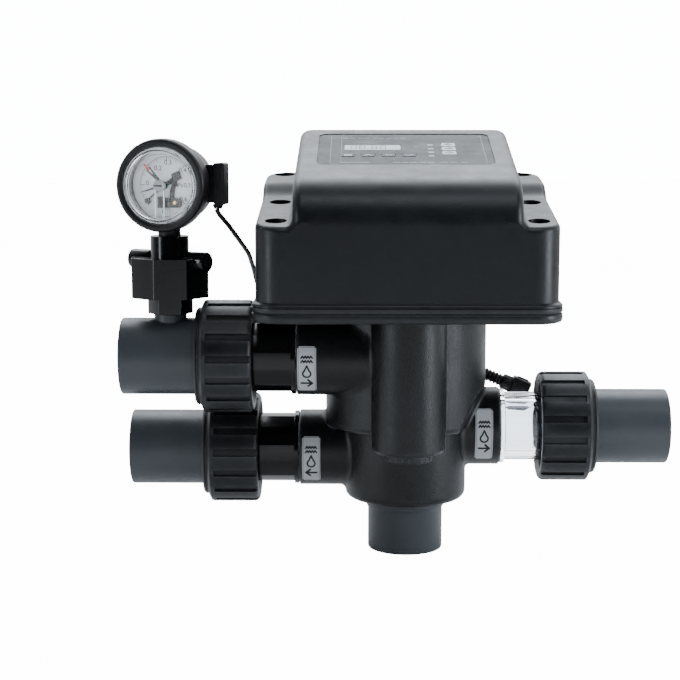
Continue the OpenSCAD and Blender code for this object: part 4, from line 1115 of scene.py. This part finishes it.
def dial():
    plate = soften([(0, 3), (28.8, 3), (28.8, 3.6), (28.2, 4), (0, 4)], 0.2, 1, closed=False)
    piece("dial_plate", lathe(plate, 128), GAUGE, "dial_white", replaces=["gauge_dial"])
    ticks = []
    for k in range(61):
        a = math.radians(225 - 4.5 * k)
        inner, w = (18.8, 0.6) if k % 10 == 0 else (20, 0.42) if k % 5 == 0 else (20.9, 0.26)
        c, s = math.cos(a), math.sin(a)
        ticks.append(stroke([(inner * c, inner * s), (22.2 * c, 22.2 * s)], w, 4, 4.05))
    ticks.append(stroke(arc_points(0, 0, 22.3, 225, -45, 90), 0.3, 4, 4.05))
    piece("dial_scale", join(*ticks), GAUGE, "dial_white", material="print_dark")
    numbers = (("0", -17.5, -0.4, 3.6), ("0.2", -10.5, 11.4, 3.6), ("0.3", -2, 16, 3.6), ("0.4", 10.2, 10, 3.6),
               ("0.5", 14.2, -1.8, 3.4), ("0.6", 10.6, -12.9, 3.6), ("MPa", 6.2, -1.6, 2.9))
    parts = []
    for text, x, y, size in numbers:
        curve = bpy.data.curves.new("number", "FONT")
        curve.body = text
        curve.size = size * 1.5
        curve.offset = 0.06
        curve.resolution_u = 3
        holder = bpy.data.objects.new("number", curve)
        mesh = bpy.data.meshes.new_from_object(holder)
        parts.append(([(v.co.x + x, v.co.y + y, 4.06) for v in mesh.vertices],
                      [list(p.vertices) for p in mesh.polygons]))
        bpy.data.objects.remove(holder)
        bpy.data.curves.remove(curve)
        bpy.data.meshes.remove(mesh)
    piece("dial_numbers", join(*parts), GAUGE, "dial_white", material="print_dark")


def pointer_blade(angle, length, width, tail, hub, z):
    """Tapered blade with a round hub."""
    blade = prism([(-tail, -width * 0.6), (0, -width / 2), (length * 0.72, -width * 0.42), (length, -0.12),
                   (length, 0.12), (length * 0.72, width * 0.42), (0, width / 2), (-tail, width * 0.6)], z, z + 0.5)
    return join(turned(blade, angle), lathe([(0, z - 0.1), (hub, z - 0.1), (hub, z + 0.7), (0, z + 0.7)], 32))


def pointers():
    main = join(pointer_blade(196, 22.5, 1.5, 7, 2.9, 8), lathe([(0, 4.1), (1.4, 4.1), (1.4, 8.3), (0, 8.3)], 24))
    piece("pressure_hand", main, GAUGE, "pointer_black", body="pressure_pointer",
          replaces=["pressure_pointer"], bevel=0.08)
    low = prism([(2, -0.9), (20, -0.55), (20, 0.55), (2, 0.9)], 10.2, 10.8)
    tip = prism([(19.6, -1.1), (21.6, -1.3), (23.4, 0), (21.6, 1.3), (19.6, 1.1)], 10.1, 10.9)
    hub = lathe([(1.3, 10.2), (3.3, 10.2), (3.3, 10.9), (1.3, 10.9)], 32)
    piece("low_set_hand", join(turned(tip, 268), hub), GAUGE, "pointer_green", body="low_set_pointer",
          replaces=["low_set_pointer"], bevel=0.08)
    piece("low_set_arm", turned(low, 268), GAUGE, "pointer_green", body="low_set_pointer",
          material="pointer_black", bevel=0.08)
    fork = prism([(2.4, -1.1), (9, -1.5), (17, -2.1), (18.6, -1.2), (12, -0.2), (12, 0.2), (18.6, 1.2),
                  (17, 2.1), (9, 1.5), (2.4, 1.1)], 12, 12.7)
    red = prism([(16.8, -1), (22.4, -0.7), (23.4, 0), (22.4, 0.7), (16.8, 1)], 12.1, 12.8)
    hub = lathe([(1.3, 12), (3.3, 12), (3.3, 12.8), (1.3, 12.8)], 32)
    piece("high_set_hand", turned(red, 134), GAUGE, "pointer_red", body="high_set_pointer",
          replaces=["high_set_pointer"], bevel=0.08)
    piece("high_set_arm", join(turned(fork, 134), hub), GAUGE, "pointer_red", body="high_set_pointer",
          material="pointer_black", bevel=0.08)


def contacts():
    head = turned(prism(round_rect(-3.2, -3.4, 6.4, 6.8, 1), 4.1, 7.4), 25)
    arm = join(turned(slab(2, -1.6, 5.2, 14, 1.6, 7), 38), moved(head, upright(8.9, 6.9)))
    limb = stroke([(4.6, -12), (5.4, -4), (8, 5)], 3.4, 4.1, 6.4)
    foot = prism(round_rect(-6, -17.8, 18.6, 7.4, 2.4), 4.1, 7.3)
    square = prism(round_rect(-6.4, -18.2, 6.4, 9.2, 0.6), 7.2, 9.2)
    low_arm = join(stroke([(-2.5, -1.5), (-10, -7.5), (-15.4, -12.2)], 1.3, 6, 6.9),
                   moved(prism(polygon(2.3, 24), 6, 7.3), Matrix.Translation((-15.6, -12.6, 0))))
    piece("contact_blocks", join(arm, limb, foot, square, low_arm), GAUGE, "contact_black",
          replaces=["contact_carrier"], bevel=0.2)
    legs = join(slab(-6, -19, 14.5, -5, -1, 15.6), slab(1, -19, 14.5, 2, -1, 15.6),
                slab(-6, -2.4, 14.5, 2, 1.2, 15.6), lathe([(0, 9.4), (1.2, 9.4), (1.2, 15), (0, 15)], 24))
    feet = join(*[part for x in (-5.5, 1.5) for part in (
        slab(x - 0.45, -25.7, 14.55, x + 0.45, -18.9, 15.55),
        moved(lathe([(0, 4), (0.65, 4), (0.65, 15.5), (0, 15.5)], 20), Matrix.Translation((x, -25.1, 0))))],
        slab(-6, -25.8, 4.05, 2, -18.4, 4.9))
    piece("contact_feet", feet, GAUGE, "contact_black", material="dial_white", bevel=0.1)
    piece("contact_bracket", legs, GAUGE, "contact_black", material="knob_silver", bevel=0.12)
    screw = moved(lathe([(0, 7.2), (1.7, 7.2), (1.7, 8), (1.3, 8.3), (0, 8.3)], 24), upright(7.6, -14))
    piece("contact_screw", screw, GAUGE, "contact_black", material="brass", bevel=0.1)


def set_knob():
    profile = soften([(0, 16.2), (3.6, 16.2), (3.6, 20), (4.3, 20.4), (4.3, 24.3), (3.8, 24.8), (0, 24.8)], 0.25, 2,
                     closed=False)
    slot = slab(-3.5, -0.5, 24.6, 3.5, 0.5, 24.86)
    piece("set_knob_cap", lathe(profile, 56), GAUGE, "knob_silver", body="set_knob", replaces=["set_knob"], bevel=0.1)
    piece("set_knob_slot", slot, GAUGE, "knob_silver", body="set_knob", material="print_dark")


gauge_case()
gauge_glass()
dial()
pointers()
contacts()
set_knob()

# ------------------------------------------------------- floor and lighting


# The backdrop's glow as the camera sees it, and the share of it seen through glass
GLOW = 16
GLASS_GLOW = 0.2


def studio():
    mesh = bpy.data.meshes.new("floor")
    mesh.from_pydata([(-8, -8, 0), (8, -8, 0), (8, 8, 0), (-8, 8, 0)], [], [(0, 1, 2, 3)])
    ground = bpy.data.objects.new("floor", mesh)
    ground.location.z = -0.0005
    bpy.context.scene.collection.objects.link(ground)
    n = Nodes("floor")
    base = n.ramp(n.noise(3, 3), [(0.3, (0.86, 0.865, 0.87)), (0.7, (0.9, 0.905, 0.91))])
    path = n.node("ShaderNodeLightPath").outputs
    behind = n.node("ShaderNodeMath", {0: path["Is Transmission Ray"], 1: GLASS_GLOW},
                    operation="MULTIPLY").outputs[0]
    seen = n.node("ShaderNodeMath", {0: path["Is Camera Ray"], 1: behind}, operation="MAXIMUM")
    glow = n.node("ShaderNodeMath", {0: seen.outputs[0], 1: GLOW}, operation="MULTIPLY").outputs[0]
    mesh.materials.append(n.wire(Base_Color=base, Roughness=0.9, Specular_IOR_Level=0.0, Emission_Color=base,
                                 Emission_Strength=glow))

    world = bpy.data.worlds.new("studio")
    bpy.context.scene.world = world
    world.use_nodes = True
    tree = world.node_tree
    make, link = tree.nodes.new, tree.links.new
    axes = make("ShaderNodeSeparateXYZ")
    link(make("ShaderNodeTexCoord").outputs["Generated"], axes.inputs[0])
    back = make("ShaderNodeMapRange")
    back.interpolation_type = "SMOOTHSTEP"
    for key, value in (("From Min", -0.35), ("From Max", 0.95), ("To Min", 0.03), ("To Max", 1.5)):
        back.inputs[key].default_value = value
    link(axes.outputs["Y"], back.inputs["Value"])
    path = make("ShaderNodeLightPath")
    seen = make("ShaderNodeMath")
    seen.operation = "MAXIMUM"
    behind = make("ShaderNodeMath")
    behind.operation = "MULTIPLY"
    behind.inputs[1].default_value = GLASS_GLOW
    link(path.outputs["Is Transmission Ray"], behind.inputs[0])
    link(path.outputs["Is Camera Ray"], seen.inputs[0])
    link(behind.outputs[0], seen.inputs[1])
    strength = make("ShaderNodeMix")
    strength.data_type = "FLOAT"
    link(seen.outputs[0], strength.inputs[0])
    link(back.outputs[0], strength.inputs[2])
    strength.inputs[3].default_value = GLOW
    shader = tree.nodes["Background"]
    shader.inputs["Color"].default_value = (0.95, 0.975, 1, 1)
    link(strength.outputs[0], shader.inputs["Strength"])

    def softbox(name, place, target, width, height, power):
        light = bpy.data.lights.new(name, "AREA")
        light.shape = "RECTANGLE"
        light.size, light.size_y, light.energy = width, height, power
        light.color = (0.86, 0.93, 1)
        lamp = bpy.data.objects.new(name, light)
        bpy.context.scene.collection.objects.link(lamp)
        lamp.location = place
        lamp.rotation_euler = (Vector(target) - Vector(place)).to_track_quat("-Z", "Y").to_euler()

    centre = (0, 0, 0.18)
    softbox("top", (0, 1.1, 1.5), centre, 2.0, 1.2, 30)
    softbox("left", (-1.6, -1.0, 0.4), centre, 0.3, 1.2, 8)
    softbox("right", (1.6, -0.7, 0.4), centre, 0.4, 1.4, 24)
    softbox("front", (0.3, -1.0, 2.2), centre, 1.4, 0.7, 10)


studio()
